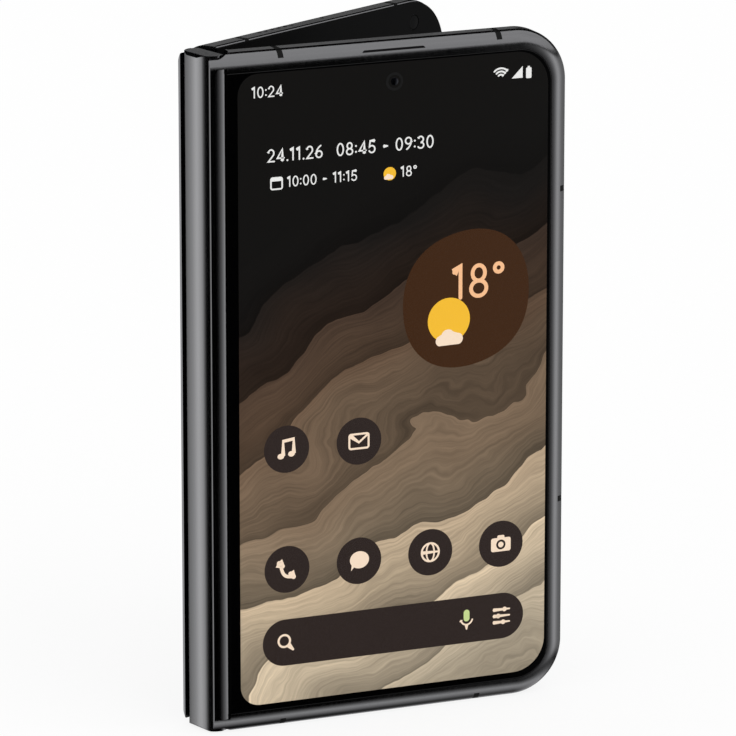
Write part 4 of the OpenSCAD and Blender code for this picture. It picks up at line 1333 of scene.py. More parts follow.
@dataclass
class CoverPicture:
    """What the lit cover display shows: a wallpaper, plain numerals and generic signs."""

    shop: Workshop
    front: FrontHalf
    lift: float = -0.006

    def sign(self, name: str, shapes: Sequence[Sequence[Loop]], finish: str, level: int) -> None:
        """Thin sign on the glass.

        Args:
            name: piece name.
            shapes: outlines, one list of loops for each stroke.
            finish: its material.
            level: how many layers lie below it.
        """
        low = self.lift * (level + 1)
        made = [self.shop.plate("stroke", loops, low - 0.0002 * i, 0.012) for i, loops in enumerate(shapes)]
        self.front.shell.put(self.shop.join(name, made), finish, "cover_display", weighted=False)

    def build(self) -> None:
        """Every layer of the picture."""
        q = self.shop.sizes
        f = self.front
        outline = rounded(f.screen_near, f.screen_low, q.half_w - f.screen_far, q.body_h - f.screen_down,
                          (4.2, 7.0, 7.0, 4.2), 24)
        self.sign("picture_wallpaper", [[outline]], "dune_picture", 0)
        self.status()
        self.notes()
        self.weather()
        self.icons()
        self.search()

    def status(self) -> None:
        """Clock, signal wedge and cell."""
        self.sign("picture_clock", Numerals.shapes("10:24", 10.6, 130.5, 2.3), "sign_white", 1)
        wedge = [(66.8, 130.0), (69.2, 130.0), (69.2, 132.4)]
        cell = rounded(69.95, 129.8, 71.15, 132.0, (0.25,) * 4, 4)
        knob = rounded(70.3, 132.0, 70.8, 132.3, (0.1,) * 4, 3)
        waves = [ribbon(arc(64.4, 130.3, r, r, 45, 135, 10), 0.36) for r in (0.7, 1.35, 2.0)]
        self.sign("picture_status", [[wedge], [cell], [knob], *waves], "sign_white", 1)

    def notes(self) -> None:
        """Two rows of numerals with a calendar leaf and a small sun."""
        rows = Numerals.shapes("24.11.26  08:45 - 09:30", 13.9, 117.3, 2.7)
        rows += Numerals.shapes("10:00 - 11:15", 18.1, 112.0, 2.2)
        rows += Numerals.shapes("18o", 42.6, 111.9, 2.2)
        leaf = ribbon(rounded(14.6, 111.8, 17.0, 114.1, (0.35,) * 4, 4), 0.32, True)
        head = rounded(14.6, 113.4, 17.0, 114.2, (0.2,) * 4, 3)
        self.sign("picture_notes", rows + [leaf, [head]], "sign_white", 1)
        self.sign("picture_small_sun", [[disc(40.2, 112.8, 1.35)]], "sign_sun", 1)
        self.sign("picture_small_cloud", [[self.cloud(40.0, 111.7, 0.34)]], "sign_cream", 2)

    @staticmethod
    def cloud(x: float, z: float, scale: float) -> Loop:
        """Outline of a small cloud with a flat foot."""
        puffs = (arc(-2.0, 0.9, 1.1, 1.1, 250, 110, 10) + arc(-0.4, 1.7, 1.5, 1.5, 160, 40, 12)
                 + arc(1.7, 1.1, 1.2, 1.2, 90, -75, 10))
        return moved([puffs], x, z, scale)[0]

    def weather(self) -> None:
        """Brown blob with the temperature, a sun and a cloud."""
        blob = []
        for i in range(72):
            a = 2 * math.pi * i / 72
            reach = 14.25 * (1 + 0.035 * math.cos(2 * (a - 0.9)) + 0.02 * math.cos(4 * (a - 0.9)))
            blob.append((57.0 + reach * math.cos(a), 85.6 + reach * math.sin(a)))
        self.sign("picture_weather", [[blob]], "sign_brown", 1)
        self.sign("picture_degrees", Numerals.shapes("18o", 54.0, 85.4, 7.2), "sign_peach", 3)
        self.sign("picture_sun", [[disc(53.2, 81.4, 4.65)]], "sign_sun", 2)
        self.sign("picture_cloud", [[self.cloud(53.4, 76.3, 1.0)]], "sign_cream", 4)

    def icons(self) -> None:
        """Six dark discs, each with a plain sign."""
        columns = [17.75 + self.front.column_pitch * i for i in range(4)]
        places = [(x, 58.2) for x in columns[:2]] + [(x, 33.1) for x in columns]
        discs = [[disc(x, z, self.front.icon_r)] for x, z in places]
        self.sign("picture_icon_discs", discs, "sign_dark", 1)
        signs = (self.melody(), self.envelope(), self.handset(), self.bubble(), self.globe(), self.snapshot())
        drawn = [moved(loops, x, z) for sign, (x, z) in zip(signs, places) for loops in sign]
        self.sign("picture_icon_signs", drawn, "sign_cream", 2)

    @staticmethod
    def melody() -> list[list[Loop]]:
        """Two joined notes."""
        beam = [(-0.95, 1.35), (-0.95, 2.0), (1.75, 2.35), (1.75, 1.7)]
        stems = [ribbon([(-0.75, -1.3), (-0.75, 1.7)], 0.4), ribbon([(1.55, -0.95), (1.55, 2.0)], 0.4)]
        heads = [[disc(-1.25, -1.4, 0.72, 0.58)], [disc(1.05, -1.05, 0.72, 0.58)]]
        return [[beam], *stems, *heads]

    @staticmethod
    def envelope() -> list[list[Loop]]:
        """Closed envelope."""
        edge = ribbon(rounded(-2.1, -1.5, 2.1, 1.5, (0.4,) * 4, 4), 0.42, True)
        return [edge, ribbon([(-1.95, 1.3), (0.0, -0.25), (1.95, 1.3)], 0.42)]

    @staticmethod
    def handset() -> list[list[Loop]]:
        """Receiver of a telephone, lying aslant."""
        line = [(-1.45 + 2.9 * t, 1.35 - 2.9 * t - 1.7 * math.sin(math.pi * t) * 0.62)
                for t in (i / 14 for i in range(15))]
        line = [(x - 0.55 * math.sin(math.pi * i / 14), z) for i, (x, z) in enumerate(line)]
        return [ribbon(line, 0.7), ribbon([(-1.75, 1.45), (-0.95, 0.75)], 0.95),
                ribbon([(0.75, -1.0), (1.45, -1.7)], 0.95)]

    @staticmethod
    def bubble() -> list[list[Loop]]:
        """Speech bubble."""
        body = arc(0.1, 0.2, 2.1, 1.8, 215, -125, 36)
        return [[body + [(-1.75, -2.0)]]]

    @staticmethod
    def globe() -> list[list[Loop]]:
        """Globe with two meridians and the equator."""
        return [ribbon(disc(0, 0, 1.9), 0.42, True), ribbon(disc(0, 0, 0.85, 1.9), 0.34, True),
                ribbon([(-1.85, 0.0), (1.85, 0.0)], 0.34)]

    @staticmethod
    def snapshot() -> list[list[Loop]]:
        """Camera body with a round lens."""
        body = rounded(-2.2, -1.6, 2.2, 1.3, (0.45,) * 4, 5)
        bump = rounded(-0.8, 1.2, 0.8, 1.85, (0.1, 0.1, 0.3, 0.3), 4)
        return [[body, disc(0, -0.15, 1.05)[::-1]], [bump], [disc(0, -0.15, 0.6)]]

    def search(self) -> None:
        """Dark pill with a loupe, a microphone and sliders."""
        low, high = 12.85, 22.6
        r = (high - low) / 2
        self.sign("picture_pill", [[rounded(12.4, low, 70.1, high, (r,) * 4, 20)]], "sign_dark", 1)
        z = (low + high) / 2
        loupe = [ribbon(disc(17.1, z + 0.35, 1.25), 0.45, True), ribbon([(18.05, z - 0.6), (19.0, z - 1.6)], 0.5)]
        sliders = []
        for i, knob in enumerate((0.7, -0.7, 0.4)):
            row = z + 1.35 - 1.35 * i
            sliders += [ribbon([(63.4, row), (67.0, row)], 0.34), [disc(65.2 + knob, row, 0.5)]]
        cradle = ribbon(arc(57.4, z + 0.5, 1.35, 1.5, 200, 340, 12), 0.36)
        stem = ribbon([(57.4, z - 1.1), (57.4, z - 1.9)], 0.36)
        self.sign("picture_pill_signs", [*loupe, *sliders, cradle, stem], "sign_cream", 2)
        self.sign("picture_microphone", [[rounded(56.75, z - 0.3, 58.05, z + 2.2, (0.64,) * 4, 6)]],
                  "sign_green", 2)


@dataclass
class HingeSpine:
    """Spine cover and the sheets that bend over the hinge."""

    shop: Workshop
    wall: float = 0.35
    end_r: float = 1.2
    web_reach: float = 1.75
    cap_t: float = 1.4
    stack_end: float = 7.95
    web_t: float = 1.0
    bend_in: float = 1.5
    cable_h: float = 14.0
    flat_turn: float = 76.0
    top_rise: float = 0.0

    def section(self, inset: float, cut_x: float) -> Loop:
        """Section of the spine left of cut_x: round each axis, and the bulging side between."""
        q = self.shop.sizes
        far_y = 2 * q.mid_y - q.axis_y
        r = q.spine_r - inset
        tilt = math.degrees(math.asin(q.axis_gap / (q.spine_side_r - q.spine_r)))
        end = math.degrees(math.acos(min(1.0, (cut_x - q.axis_in) / r)))
        low = arc(q.axis_in, q.axis_y, r, r, -end, tilt - 180, 24)
        side = arc(q.side_x, q.mid_y, q.spine_side_r - inset, q.spine_side_r - inset, tilt + 180, 180 - tilt, 24)
        high = arc(q.axis_in, far_y, r, r, 180 - tilt, end, 24)
        return low[:-1] + side + high[1:]

    def cutters(self, tight: float) -> list[bpy.types.Mesh]:
        """Cutters for the rounded ends and for the arms' way in.

        Args:
            tight: how much deeper the ends are rounded.

        Returns:
            The cutters.
        """
        q = self.shop.sizes
        left = min(x for x, _ in self.section(0.0, q.axis_in))
        made = self.shop.end_cutters((self.end_r + tight,) * 2, lambda a, z: [(a, -3.0, z), (a, 16.0, z)],
                                     left, q.spine_end)
        far_y = 2 * q.mid_y
        x0, x1 = q.axis_in - 0.65, q.axis_in + 1
        for y0, y1 in ((q.axis_y - 2 * q.spine_r, q.axis_y),
                       (far_y - q.axis_y, far_y - q.axis_y + 2 * q.spine_r)):
            gap = [(x0, y0), (x1, y0), (x1, y1), (x0, y1)]
            for z0 in (3.5, q.body_h - 6.8):
                made.append(self.shop.prism("gap", gap, z0, z0 + 3.3))
        return made

    def build(self) -> None:
        """Shell, caps, webs and both bending sheets."""
        q = self.shop.sizes
        outer, inner = self.section(0.0, q.axis_in), self.section(self.wall, q.axis_in)
        shell = self.shop.prism("shell", outer + inner[::-1], q.spine_end, q.body_h - q.spine_end)
        blocks = [self.shop.cut(shell, self.cutters(0.0))]
        cap = self.section(self.wall * 0.5, q.axis_in + 1.3)
        web = self.section(self.wall * 0.5, q.axis_in)
        x0, x1 = q.axis_in - 0.5, q.axis_in + 1.1
        y0, y1 = q.axis_y - self.web_reach, 2 * q.mid_y - q.axis_y + self.web_reach
        tongue = [(x0, y0), (x1, y0), (x1, y1), (x0, y1)]
        web_z = (self.stack_end - self.web_t, self.stack_end)
        for section, z0, z1 in ((cap, q.spine_end + 0.02, q.spine_end + self.cap_t), (web, *web_z),
                                (tongue, *web_z)):
            for low, high in ((z0, z1), (q.body_h - z1, q.body_h - z0)):
                block = self.shop.prism("block", section, low, high)
                blocks.append(self.shop.cut(block, self.cutters(0.01)[:2]) if section is cap else block)
        self.shop.settle(self.shop.join("spine_shell", blocks), Station.SPINE, "spine", "spine_metal",
                         "spine_metal", ["spine_cover"])
        screen = (q.half_t - q.panel_drop - q.axis_y, q.panel_t, q.bezel_z + q.seam,
                  q.body_h - q.bezel_z - q.seam)
        self.sheet("inner_screen_bend", screen, "inner_screen", "inner_display", "folding_panel")
        middle = q.body_h / 2
        cable = (0.37, 0.12, middle - self.cable_h / 2, middle + self.cable_h / 2)
        self.sheet("hinge_flex_cable", cable, "coil_copper", "copper", "hinge_cable")

    def weight(self, u: float, rise: float) -> float:
        """Args:
            u: distance along the flat sheet from the axis.
            rise: height above the axis.

        Returns:
            The share, 0 on the half and 1 on the spine.
        """
        start, end = self.span()
        way = end - start
        low, high = 0.0, 1.0
        for _ in range(40):
            guess = (low + high) / 2
            t = (self.bent(u, rise, guess) - start).dot(way) / way.length_squared
            t = min(1.0, max(0.0, t))
            if t * t * (3 - 2 * t) > guess:
                low = guess
            else:
                high = guess
        return (low + high) / 2

    def bent(self, u: float, rise: float, share: float) -> Vector:
        """Point of the resting sheet in the front half's frame, in x and y."""
        q = self.shop.sizes
        turn = -math.radians(self.flat_turn) * share
        c, s = math.cos(turn), math.sin(turn)
        return Vector((q.axis_in + u * c - rise * s, q.axis_y + u * s + rise * c))

    def span(self) -> tuple[Vector, Vector]:
        """First and last point of the resting sheet's face."""
        return (self.bent(self.shop.sizes.bend_out, self.top_rise, 0.0),
                self.bent(-self.bend_in, self.top_rise, 1.0))

    def sheet(self, name: str, form: tuple[float, float, float, float], finish: str, slot: str,
              node: str) -> None:
        """A sheet over the hinge, in two pieces that each cross one joint.

        Args:
            name: stem of the pieces' names.
            form: rise of its face above the axis, thickness, and its two ends in z.
            finish: material.
            slot: record's slot; not used.
            node: solid that it stands for.
        """
        q = self.shop.sizes
        top, thick, z0, z1 = form
        self.top_rise = top
        steps = 44
        first = q.bend_out + 0.02
        us = [first - (first + q.axis_gap) * i / steps for i in range(steps + 1)]
        to_front = self.shop.place.matrices[Station.FRONT]
        spine_flip = (self.shop.place.matrices[Station.SPINE]
                      @ Matrix.Translation((0, 2 * q.mid_y, 0)) @ Matrix.Scale(-1, 4, (0, 1, 0))
                      @ self.shop.place.matrices[Station.SPINE].inverted())
        for side, bodies in (("front", ("front_half", "spine")), ("rear", ("spine", "rear_half"))):
            section = []
            for rise, order in ((top, us), (top - thick, us[::-1])):
                section += [tuple(self.bent(u, rise, self.weight(u, rise))) for u in order]
            mesh = self.shop.grid(f"{name}_{side}", [[(x, y, z) for x, y in section] for z in (z0, z1)])
            mesh.transform(to_front)
            if side == "rear":
                mesh.transform(spine_flip)
                mesh.flip_normals()
            obj = self.shop.dress(mesh, finish, False)
            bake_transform(obj)
            self.shop.note(obj, slot, [node])


@dataclass
class RearHalf:
    """The half with the cameras, keys, port and tray."""

    shop: Workshop
    bar_w: float = 70.0
    bar_h: float = 17.0
    bar_t: float = 2.2
    bar_down: float = 24.5
    bar_glass_inset: float = 2.2
    lens_pitch: float = 15.5
    lens_r: float = 4.4
    flash_r: float = 1.6
    power_h: float = 12.0
    rocker_h: float = 22.0
    key_t: float = 2.1
    key_out: float = 0.35
    port_w: float = 8.34
    port_h: float = 2.56
    tray_z: float = 22.0
    tray_h: float = 13.6
    tray_t: float = 1.2
    grille_r: float = 0.45
    grille_low_x: float = 20.0
    grille_top_x: float = 22.0
    mic_x: float = 43.2
    gauze_in: float = 1.3
    bar_shift: float = 0.6
    lens_first: float = 14.0
    flash_step: float = 12.0
    power_down: float = 44.7
    rocker_step: float = 22.0

    def __post_init__(self) -> None:
        """Places that several pieces share."""
        q = self.shop.sizes
        self.shell = HalfShell(self.shop, Station.REAR, "rear")
        self.key_y = q.half_t / 2
        self.bar_x = q.half_w / 2 + self.bar_shift
        self.bar_z = q.body_h - self.bar_down
        self.lens_xs = [self.bar_x - self.bar_w / 2 + self.lens_first + i * self.lens_pitch for i in range(3)]
        self.flash_x = self.lens_xs[2] + self.flash_step
        self.power_z = q.body_h - self.power_down
        self.rocker_z = self.power_z - self.rocker_step

    def build(self) -> None:
        """Every piece of the rear half."""
        self.shell.frame(self.frame_cutters)
        self.shell.rail()
        q = self.shop.sizes
        camera = (q.half_w - 10, q.body_h - q.wall_t - 1.8)
        self.shell.inside([disc(*camera, 1.55)[::-1]])
        self.inner_camera(*camera)
        self.shell.outer_glass("rear_back_glass", "back_glass")
        self.camera_bar()
        self.keys()
        self.edge_details()

    def key_window(self, z: float, length: float) -> bpy.types.Mesh:
        """Cutter for one key's window."""
        q = self.shop.sizes
        gap = 0.1
        half = length / 2 + gap
        loop = rounded(q.half_w - q.wall_t - 1, z - half, q.half_w + 1, z + half, (0.0,) * 4)
        return self.shop.plate("window", [loop], self.key_y - self.key_t / 2 - gap,
                               self.key_y + self.key_t / 2 + gap)

    def pill_bar(self, name: str, reach: float, r: float, z0: float, z1: float, x: float) -> bpy.types.Mesh:
        """Bar up z with a pill-shaped section round (x, key_y)."""
        section = arc(x + reach, self.key_y, r, r, -90, 90, 14) + arc(x - reach, self.key_y, r, r, 90, 270, 14)
        return self.shop.prism(name, section, z0, z1)

    def frame_cutters(self) -> list[bpy.types.Mesh]:
        """Cutters for the keys, tray, port, microphones and speakers."""
        q = self.shop.sizes
        cutters = [self.key_window(self.power_z, self.power_h), self.key_window(self.rocker_z, self.rocker_h)]
        low = 2.6 + q.seam
        slot = rounded(q.half_w - q.wall_t - 1, self.tray_z - 0.05,
                       q.half_w + 1, self.tray_z + self.tray_h + 0.05, (0.0,) * 4)
        cutters.append(self.shop.plate("slot", [slot], low, low + self.tray_t + 0.1))
        reach = (self.port_w - self.port_h) / 2
        cutters.append(self.pill_bar("port", reach, self.port_h / 2 + 0.35, -1, q.wall_t + 1, q.half_w / 2))
        for x in self.low_holes:
            cutters.append(self.pill_bar("hole", 0.0, self.grille_r, -1, q.wall_t + 1, x))
        for x in self.top_holes:
            cutters.append(self.pill_bar("hole", 0.0, self.grille_r, q.body_h - q.wall_t - 1, q.body_h + 1, x))
        return cutters

    @property
    def low_holes(self) -> list[float]:
        """Places of the lower grille's holes."""
        return self.hole_xs(self.grille_low_x)

    @property
    def top_holes(self) -> list[float]:
        """Places of the upper grille's holes and the microphone."""
        return self.hole_xs(self.grille_top_x) + [self.mic_x]

    @staticmethod
    def hole_xs(start: float) -> list[float]:
        """Places of one grille's holes."""
        return [start + 1.5 + 2 * i for i in range(6)]

    def inner_camera(self, x: float, z: float) -> None:
        """Small camera in the inner bezel."""
        top = self.shop.sizes.half_t
        lens = [(0.0, top + 0.01), (0.6, top), (1.0, top - 0.05), (1.45, top - 0.08), (1.45, top - 0.5),
                (0.0, top - 0.5)]
        self.shell.put(self.shop.lathe("rear_inner_lens", lens, x, z, 48), "small_lens", "camera_black",
                       ["inner_camera"])

    def pill(self, inset: float) -> Loop:
        """Outline of the camera bar, drawn in by inset."""
        r = self.bar_h / 2 - inset
        return rounded(self.bar_x - self.bar_w / 2 + inset, self.bar_z - r,
                       self.bar_x + self.bar_w / 2 - inset, self.bar_z + r, (r,) * 4, 24)

    def camera_bar(self) -> None:
        """Raised bar, its glass, rings, lenses and flash."""
        top = -self.bar_t
        bar = self.shop.plate("rear_camera_bar", [self.pill(0.0), self.pill(self.bar_glass_inset)[::-1]],
                              top, 0.05, 0.55)
        self.shell.put(bar, "black_metal", "black_metal", ["camera_bar"])
        face = top + 0.12
        glass = self.shop.plate("rear_camera_glass", [self.pill(self.bar_glass_inset - 0.35)], face, -0.3, 0.1)
        self.shell.put(glass, "black_glass", "black_glass", ["camera_bar_glass"])
        rings, stacks = [], []
        for x in self.lens_xs:
            ring = [(self.lens_r + 0.7, face + 0.1), (self.lens_r + 0.7, face - 0.16),
                    (self.lens_r + 0.58, face - 0.27), (self.lens_r + 0.2, face - 0.3),
                    (self.lens_r - 0.1, face - 0.05), (self.lens_r - 0.1, face + 0.1),
                    (self.lens_r + 0.7, face + 0.1)]
            rings.append(self.shop.lathe("ring", ring, x, self.bar_z))
            cone = [(self.lens_r - 0.1, face - 0.03), (3.4, face - 0.03), (3.3, face - 0.01),
                    (3.2, face - 0.05), (2.3, face - 0.06), (2.25, face - 0.02), (2.1, face - 0.09),
                    (1.4, face - 0.15), (0.7, face - 0.18), (0.0, face - 0.19), (0.0, face + 0.06),
                    (self.lens_r - 0.1, face + 0.06), (self.lens_r - 0.1, face - 0.03)]
            stacks.append(self.shop.lathe("stack", cone, x, self.bar_z))
        self.shell.put(self.shop.join("rear_lens_rings", rings), "lens_ring_metal", "steel", ["lens_rings"])
        self.shell.put(self.shop.join("rear_lenses", stacks), "lens_coat", "camera_black", ["camera_modules"])
        dome = [(0.0, face - 0.09), (0.9, face - 0.07), (self.flash_r - 0.1, face - 0.04), (self.flash_r, face),
                (self.flash_r, face + 0.06), (0.0, face + 0.06)]
        self.shell.put(self.shop.lathe("rear_flash", dome, self.flash_x, self.bar_z), "flash_lens", "flash",
                       ["camera_flash"])

    def keys(self) -> None:
        """Power button and volume rocker, each on its own body."""
        q = self.shop.sizes
        for name, node, body, z, length in (
                ("power_key_cap", "power_button", "power_key", self.power_z, self.power_h),
                ("volume_key_cap", "volume_rocker", "volume_key", self.rocker_z, self.rocker_h)):
            half = self.key_t / 2
            low_x = q.half_w - q.wall_t - 0.85
            loop = rounded(low_x, z - length / 2, q.half_w + self.key_out, z + length / 2,
                           (0.1, 0.5, 0.5, 0.1), 8)
            cap = self.shop.plate("cap", [loop], self.key_y - half, self.key_y + half, 0.28)
            lip = rounded(low_x, z - length / 2 - 0.6, low_x + 0.5, z + length / 2 + 0.6, (0.1,) * 4, 3)
            base = self.shop.plate("lip", [lip], self.key_y - half, self.key_y + half, 0.05)
            self.shop.settle(self.shop.join(name, [cap, base]), Station.REAR, body, "black_metal",
                             "black_metal", [node])

    def edge_details(self) -> None:
        """Contacts in the port and dark gauze behind the grille holes."""
        q = self.shop.sizes
        pad = self.shop.plate("pad", [rounded(-0.13, -1.3, 0.13, 1.3, (0.04,) * 4, 2)], -0.02, 0.02)
        pads = self.shop.copies("port_contacts", pad, (q.half_w / 2 - 2.75, self.key_y - 0.37, 2.6),
                                ((12, (0.5, 0, 0)), (2, (0, 0.74, 0))), "coil_copper")
        self.shell.put(pads, "coil_copper", "copper")
        gauze = []
        places = [(x, self.gauze_in) for x in self.low_holes]
        places += [(x, q.body_h - self.gauze_in) for x in self.top_holes]
        for x, z in places:
            gauze.append(self.pill_bar("gauze", 0.0, self.grille_r - 0.02, z - 0.1, z + 0.1, x))
        self.shell.put(self.shop.join("grille_gauze", gauze), "mesh_metal", "mesh")


# ------------------------------------------------------------------ carried-over solids


@dataclass(frozen=True)
class InnerParts:
    """Finishes of the solids that stay as they are."""

    finishes: Finishes
    steel: tuple[str, ...] = (
        "front_magnets", "rear_magnets", "front_panel_backing", "rear_panel_backing", "front_hinge_arms",
        "rear_hinge_arms", "front_sync_gears", "rear_sync_gears", "front_arm_screws", "rear_arm_screws",
        "hinge_pins", "idler_pins", "friction_washers", "front_idler_gears", "rear_idler_gears",
        "shield_can", "board_screws", "usb_port", "key_switches", "haptic_motor")

    def dress(self, nodes: dict[str, bpy.types.Object]) -> None:
        """Gives each shown solid its finish.

        Args:
            nodes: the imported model's solids by name.
        """
        named = {
            "front_chassis_plate": "chassis", "rear_chassis_plate": "chassis", "front_battery": "cell_foil",
            "rear_battery": "cell_foil", "front_board": "board_mask", "main_board": "board_mask",
            "charging_coil": "coil_copper", "loudspeakers": "dark_housing", "front_camera": "dark_housing",
            "earpiece_speaker": "dark_housing", "cover_display": "black_glass", "sim_tray": "black_metal",
        }
        named.update({node: "steel" for node in self.steel})
        for name, obj in sorted(nodes.items()):
            finish = named.get(name, "black_metal")
            obj.data.materials.clear()
            obj.data.materials.append(self.finishes[finish])
            log.info("solid %s: %s", name, finish)


# ------------------------------------------------------------------ studio


@dataclass(frozen=True)
class Studio:
    """Pale floor, soft light, a ring that the metal mirrors, and the camera."""

    camera_place: tuple[float, float, float] = (-0.4537, -1.06, 0.3705)
    yaw: float = 23.033
    pitch: float = 14.51
    focal_px: float = 5904.8
    sensor: float = 36.0
    ring_r: float = 0.45
    ring_low: float = -1.6
    ring_high: float = 0.21
    card_reach: float = 4.0
    ceiling_z: float = 1.2
    ceiling_back: float = 0.27
    ceiling_tone: float = 0.62
    back_card_low: float = 0.46
    dome_light: float = 0.86
    dome_mirrored: float = 0.2
    paper_glow: float = 0.86
    lamp_energy: float = 0.6
    lamp_spread: float = 50.0
    lamp_turn: tuple[float, float] = (48.0, 24.0)

    def build(self) -> None:
        """Everything round the phone."""
        self.camera()
        self.world()
        self.floor()
        self.mirror_ring()
        far, z, back, low = self.card_reach, self.ceiling_z, self.ceiling_back, self.back_card_low
        self.card("mirror_ceiling", ((-far, -far, z), (far, -far, z), (far, back, z), (-far, back, z)),
                  self.ceiling_tone)
        self.card("mirror_back_card", ((-far, 1, low), (far, 1, low), (far, 0.9, far), (-far, 0.9, far)), 0.0)
        self.lamp()

    def camera(self) -> None:
        """Camera at the photograph's angle."""
        data = bpy.data.cameras.new("camera")
        data.sensor_width = self.sensor
        data.lens = self.focal_px / IMAGE_PX * self.sensor
        data.clip_start, data.clip_end = 0.01, 20
        obj = bpy.data.objects.new("camera", data)
        obj.location = self.camera_place
        obj.rotation_euler = (math.radians(90 - self.pitch), 0, math.radians(-self.yaw))
        bpy.context.scene.collection.objects.link(obj)
        bpy.context.scene.camera = obj

    def world(self) -> None:
        """White to the camera, a soft dome for light, dimmer where it is mirrored."""
        world = bpy.data.worlds.new("studio")
        bpy.context.scene.world = world
        world.use_nodes = True
        nodes, links = world.node_tree.nodes, world.node_tree.links
        nodes.clear()
        output = nodes.new("ShaderNodeOutputWorld")
        path = nodes.new("ShaderNodeLightPath")
        strengths = (("Is Camera Ray", 1.0), ("Is Glossy Ray", self.dome_mirrored),
                     ("Is Transmission Ray", 1.0))
        base = nodes.new("ShaderNodeBackground")
        base.inputs["Strength"].default_value = self.dome_light
        base.inputs["Color"].default_value = (1, 1, 1, 1)
        result = base.outputs[0]
        for key, strength in strengths:
            other = nodes.new("ShaderNodeBackground")
            other.inputs["Color"].default_value = (1, 1, 1, 1)
            other.inputs["Strength"].default_value = strength
            mix = nodes.new("ShaderNodeMixShader")
            links.new(path.outputs[key], mix.inputs[0])
            links.new(result, mix.inputs[1])
            links.new(other.outputs[0], mix.inputs[2])
            result = mix.outputs[0]
        links.new(result, output.inputs["Surface"])

    @staticmethod
    def _stage(name: str, mesh: bpy.types.Mesh) -> bpy.types.Object:
        """Object that is part of the studio."""
        obj = bpy.data.objects.new(name, mesh)
        bpy.context.scene.collection.objects.link(obj)
        return obj

    def _mirrored(self, name: str, mesh: bpy.types.Mesh) -> None:
        """Object of the studio that shows only in reflections."""
        obj = self._stage(name, mesh)
        obj.visible_camera = obj.visible_diffuse = obj.visible_shadow = False
        obj.visible_volume_scatter = False

    def floor(self) -> None:
        """Pale floor that keeps a faint shadow."""
        reach = 3.0
        mesh = bpy.data.meshes.new("floor")
        mesh.from_pydata([(-reach, -reach, 0), (reach, -reach, 0), (reach, reach, 0), (-reach, reach, 0)], [],
                         [(0, 1, 2, 3)])
        obj = self._stage("floor", mesh)
        obj.visible_glossy = False
        tree = Tree("floor_paper")
        fibres = tree.noise(tree.place((400, 400, 400)), 1.0, 3.0)
        tree.set(Base_Color=tree.mix(tree.spread(fibres, 0.0, 1.0), (0.97, 0.97, 0.97), (0.95, 0.95, 0.95)),
                 Roughness=0.9, Specular_IOR_Level=0.0)
        glow = tree.add("Emission")
        path = tree.add("LightPath")
        mix = tree.add("MixShader")
        share = tree.math("MULTIPLY", path.outputs["Is Camera Ray"], self.paper_glow)
        for key, value in enumerate((share, tree.shader.outputs[0], glow.outputs[0])):
            tree.plug(mix, key, value)
        tree.show(mix.outputs[0])
        mesh.materials.append(tree.material)

    def card(self, name: str, corners: Sequence[tuple[float, float, float]], tone: float) -> None:
        """Plain card that shows only in reflections, a touch uneven as cloth is.

        Args:
            name: its name.
            corners: its four corners.
            tone: how bright it is.
        """
        mesh = bpy.data.meshes.new(name)
        mesh.from_pydata(list(corners), [], [(0, 1, 2, 3)])
        self._mirrored(name, mesh)
        tree = Tree(name)
        glow = tree.add("Emission")
        cloth = tree.noise(tree.place((1, 1, 1)), 2.0, 2.0)
        tree.plug(glow, "Strength", tree.spread(cloth, tone * 0.9, tone * 1.1))
        tree.show(glow.outputs[0])
        mesh.materials.append(tree.material)

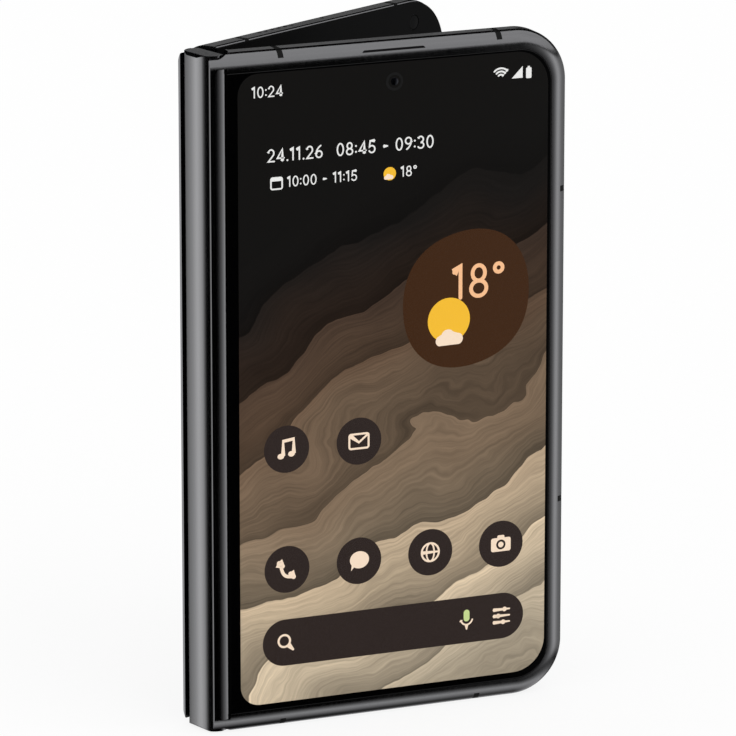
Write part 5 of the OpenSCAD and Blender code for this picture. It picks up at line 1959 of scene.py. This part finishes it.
    def mirror_ring(self) -> None:
        """Upright ring of pale and dark panels, seen only in reflections."""
        steps = 180
        verts = []
        for z in (self.ring_low, self.ring_high):
            verts += [(self.ring_r * math.sin(a), -self.ring_r * math.cos(a), z)
                      for a in (2 * math.pi * i / steps for i in range(steps))]
        faces = [(i, (i + 1) % steps, steps + (i + 1) % steps, steps + i) for i in range(steps)]
        faces.append(tuple(range(steps)))
        mesh = bpy.data.meshes.new("mirror_ring")
        mesh.from_pydata(verts, [], faces)
        self._mirrored("mirror_ring", mesh)
        tree = Tree("mirror_panels")
        split = tree.add("SeparateXYZ")
        tree.plug(split, 0, tree.place((1, 1, 1)))
        angle = tree.math("ARCTAN2", split.outputs["X"], tree.math("MULTIPLY", split.outputs["Y"], -1.0))
        share = tree.math("ADD", tree.math("DIVIDE", angle, 2 * math.pi), 0.5)
        tones = ((-180, 0.04), (-171, 0.18), (-162, 0.23), (-128, 0.56), (-108, 1.0), (-92, 0.7), (-86, 0.32),
                 (-74, 0.09), (-66, 0.01), (-55, 0.0), (27, 0.0), (31, 0.08), (37, 0.17), (44, 0.38), (51, 0.72),
                 (58, 0.86), (65, 0.68), (74, 0.45), (82, 0.36), (100, 0.3), (120, 0.22), (150, 0.06), (157, 0.03))
        level = tree.math("DIVIDE", tree.math("SUBTRACT", split.outputs["Z"], self.ring_low),
                          self.ring_high - self.ring_low)
        heights = ((-1.3, 0.0), (-0.95, 0.1), (-0.69, 0.34), (-0.42, 0.7), (-0.3, 0.2), (-0.22, 0.0))
        strip = tree.ramp(level, [((z - self.ring_low) / (self.ring_high - self.ring_low), (tone,) * 3)
                                  for z, tone in heights])
        reach = tree.spread(split.outputs["Z"], 0.0, 1.0, -0.22, -0.16)
        fade = tree.math("MULTIPLY", reach, tree.spread(split.outputs["Z"], 1.0, 0.0, 0.17, 0.2))
        stops = [((degrees + 180) / 360, (tone,) * 3) for degrees, tone in tones]
        walls = tree.mix(fade, (0.0, 0.0, 0.0), tree.ramp(share, stops))
        glow = tree.add("Emission")
        tree.plug(glow, "Color", tree.mix(1.0, walls, strip, "ADD"))
        tree.show(glow.outputs[0])
        mesh.materials.append(tree.material)

    def lamp(self) -> None:
        """One broad soft lamp from above."""
        data = bpy.data.lights.new("soft_lamp", "SUN")
        data.energy = self.lamp_energy
        data.angle = math.radians(self.lamp_spread)
        obj = bpy.data.objects.new("soft_lamp", data)
        tilt, turn = self.lamp_turn
        obj.rotation_euler = (math.radians(tilt), 0, math.radians(turn))
        obj.visible_glossy = False
        bpy.context.scene.collection.objects.link(obj)


# ------------------------------------------------------------------ main


def main() -> None:
    """Builds the phone and its studio in order."""
    logging.basicConfig(level=logging.INFO, format="%(name)s: %(message)s")
    for obj in list(bpy.data.objects):
        bpy.data.objects.remove(obj)
    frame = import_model()
    bpy.context.scene.view_settings.view_transform = "Standard"
    sizes = PhoneSizes()
    fold = next(j for j in frame["joints"] if j["name"] == "fold_front")
    open_angle = -2 * fold["range_deg"][0]
    place = Placer(sizes, open_angle)
    finishes = Finishes(place, sizes)
    shop = Workshop(sizes, place, finishes)
    Studio().build()
    InnerParts(finishes).dress(frame["nodes"])
    FrontHalf(shop).build()
    HingeSpine(shop, flat_turn=90 - open_angle / 2).build()
    RearHalf(shop).build()


if __name__ == "__main__":
    main()
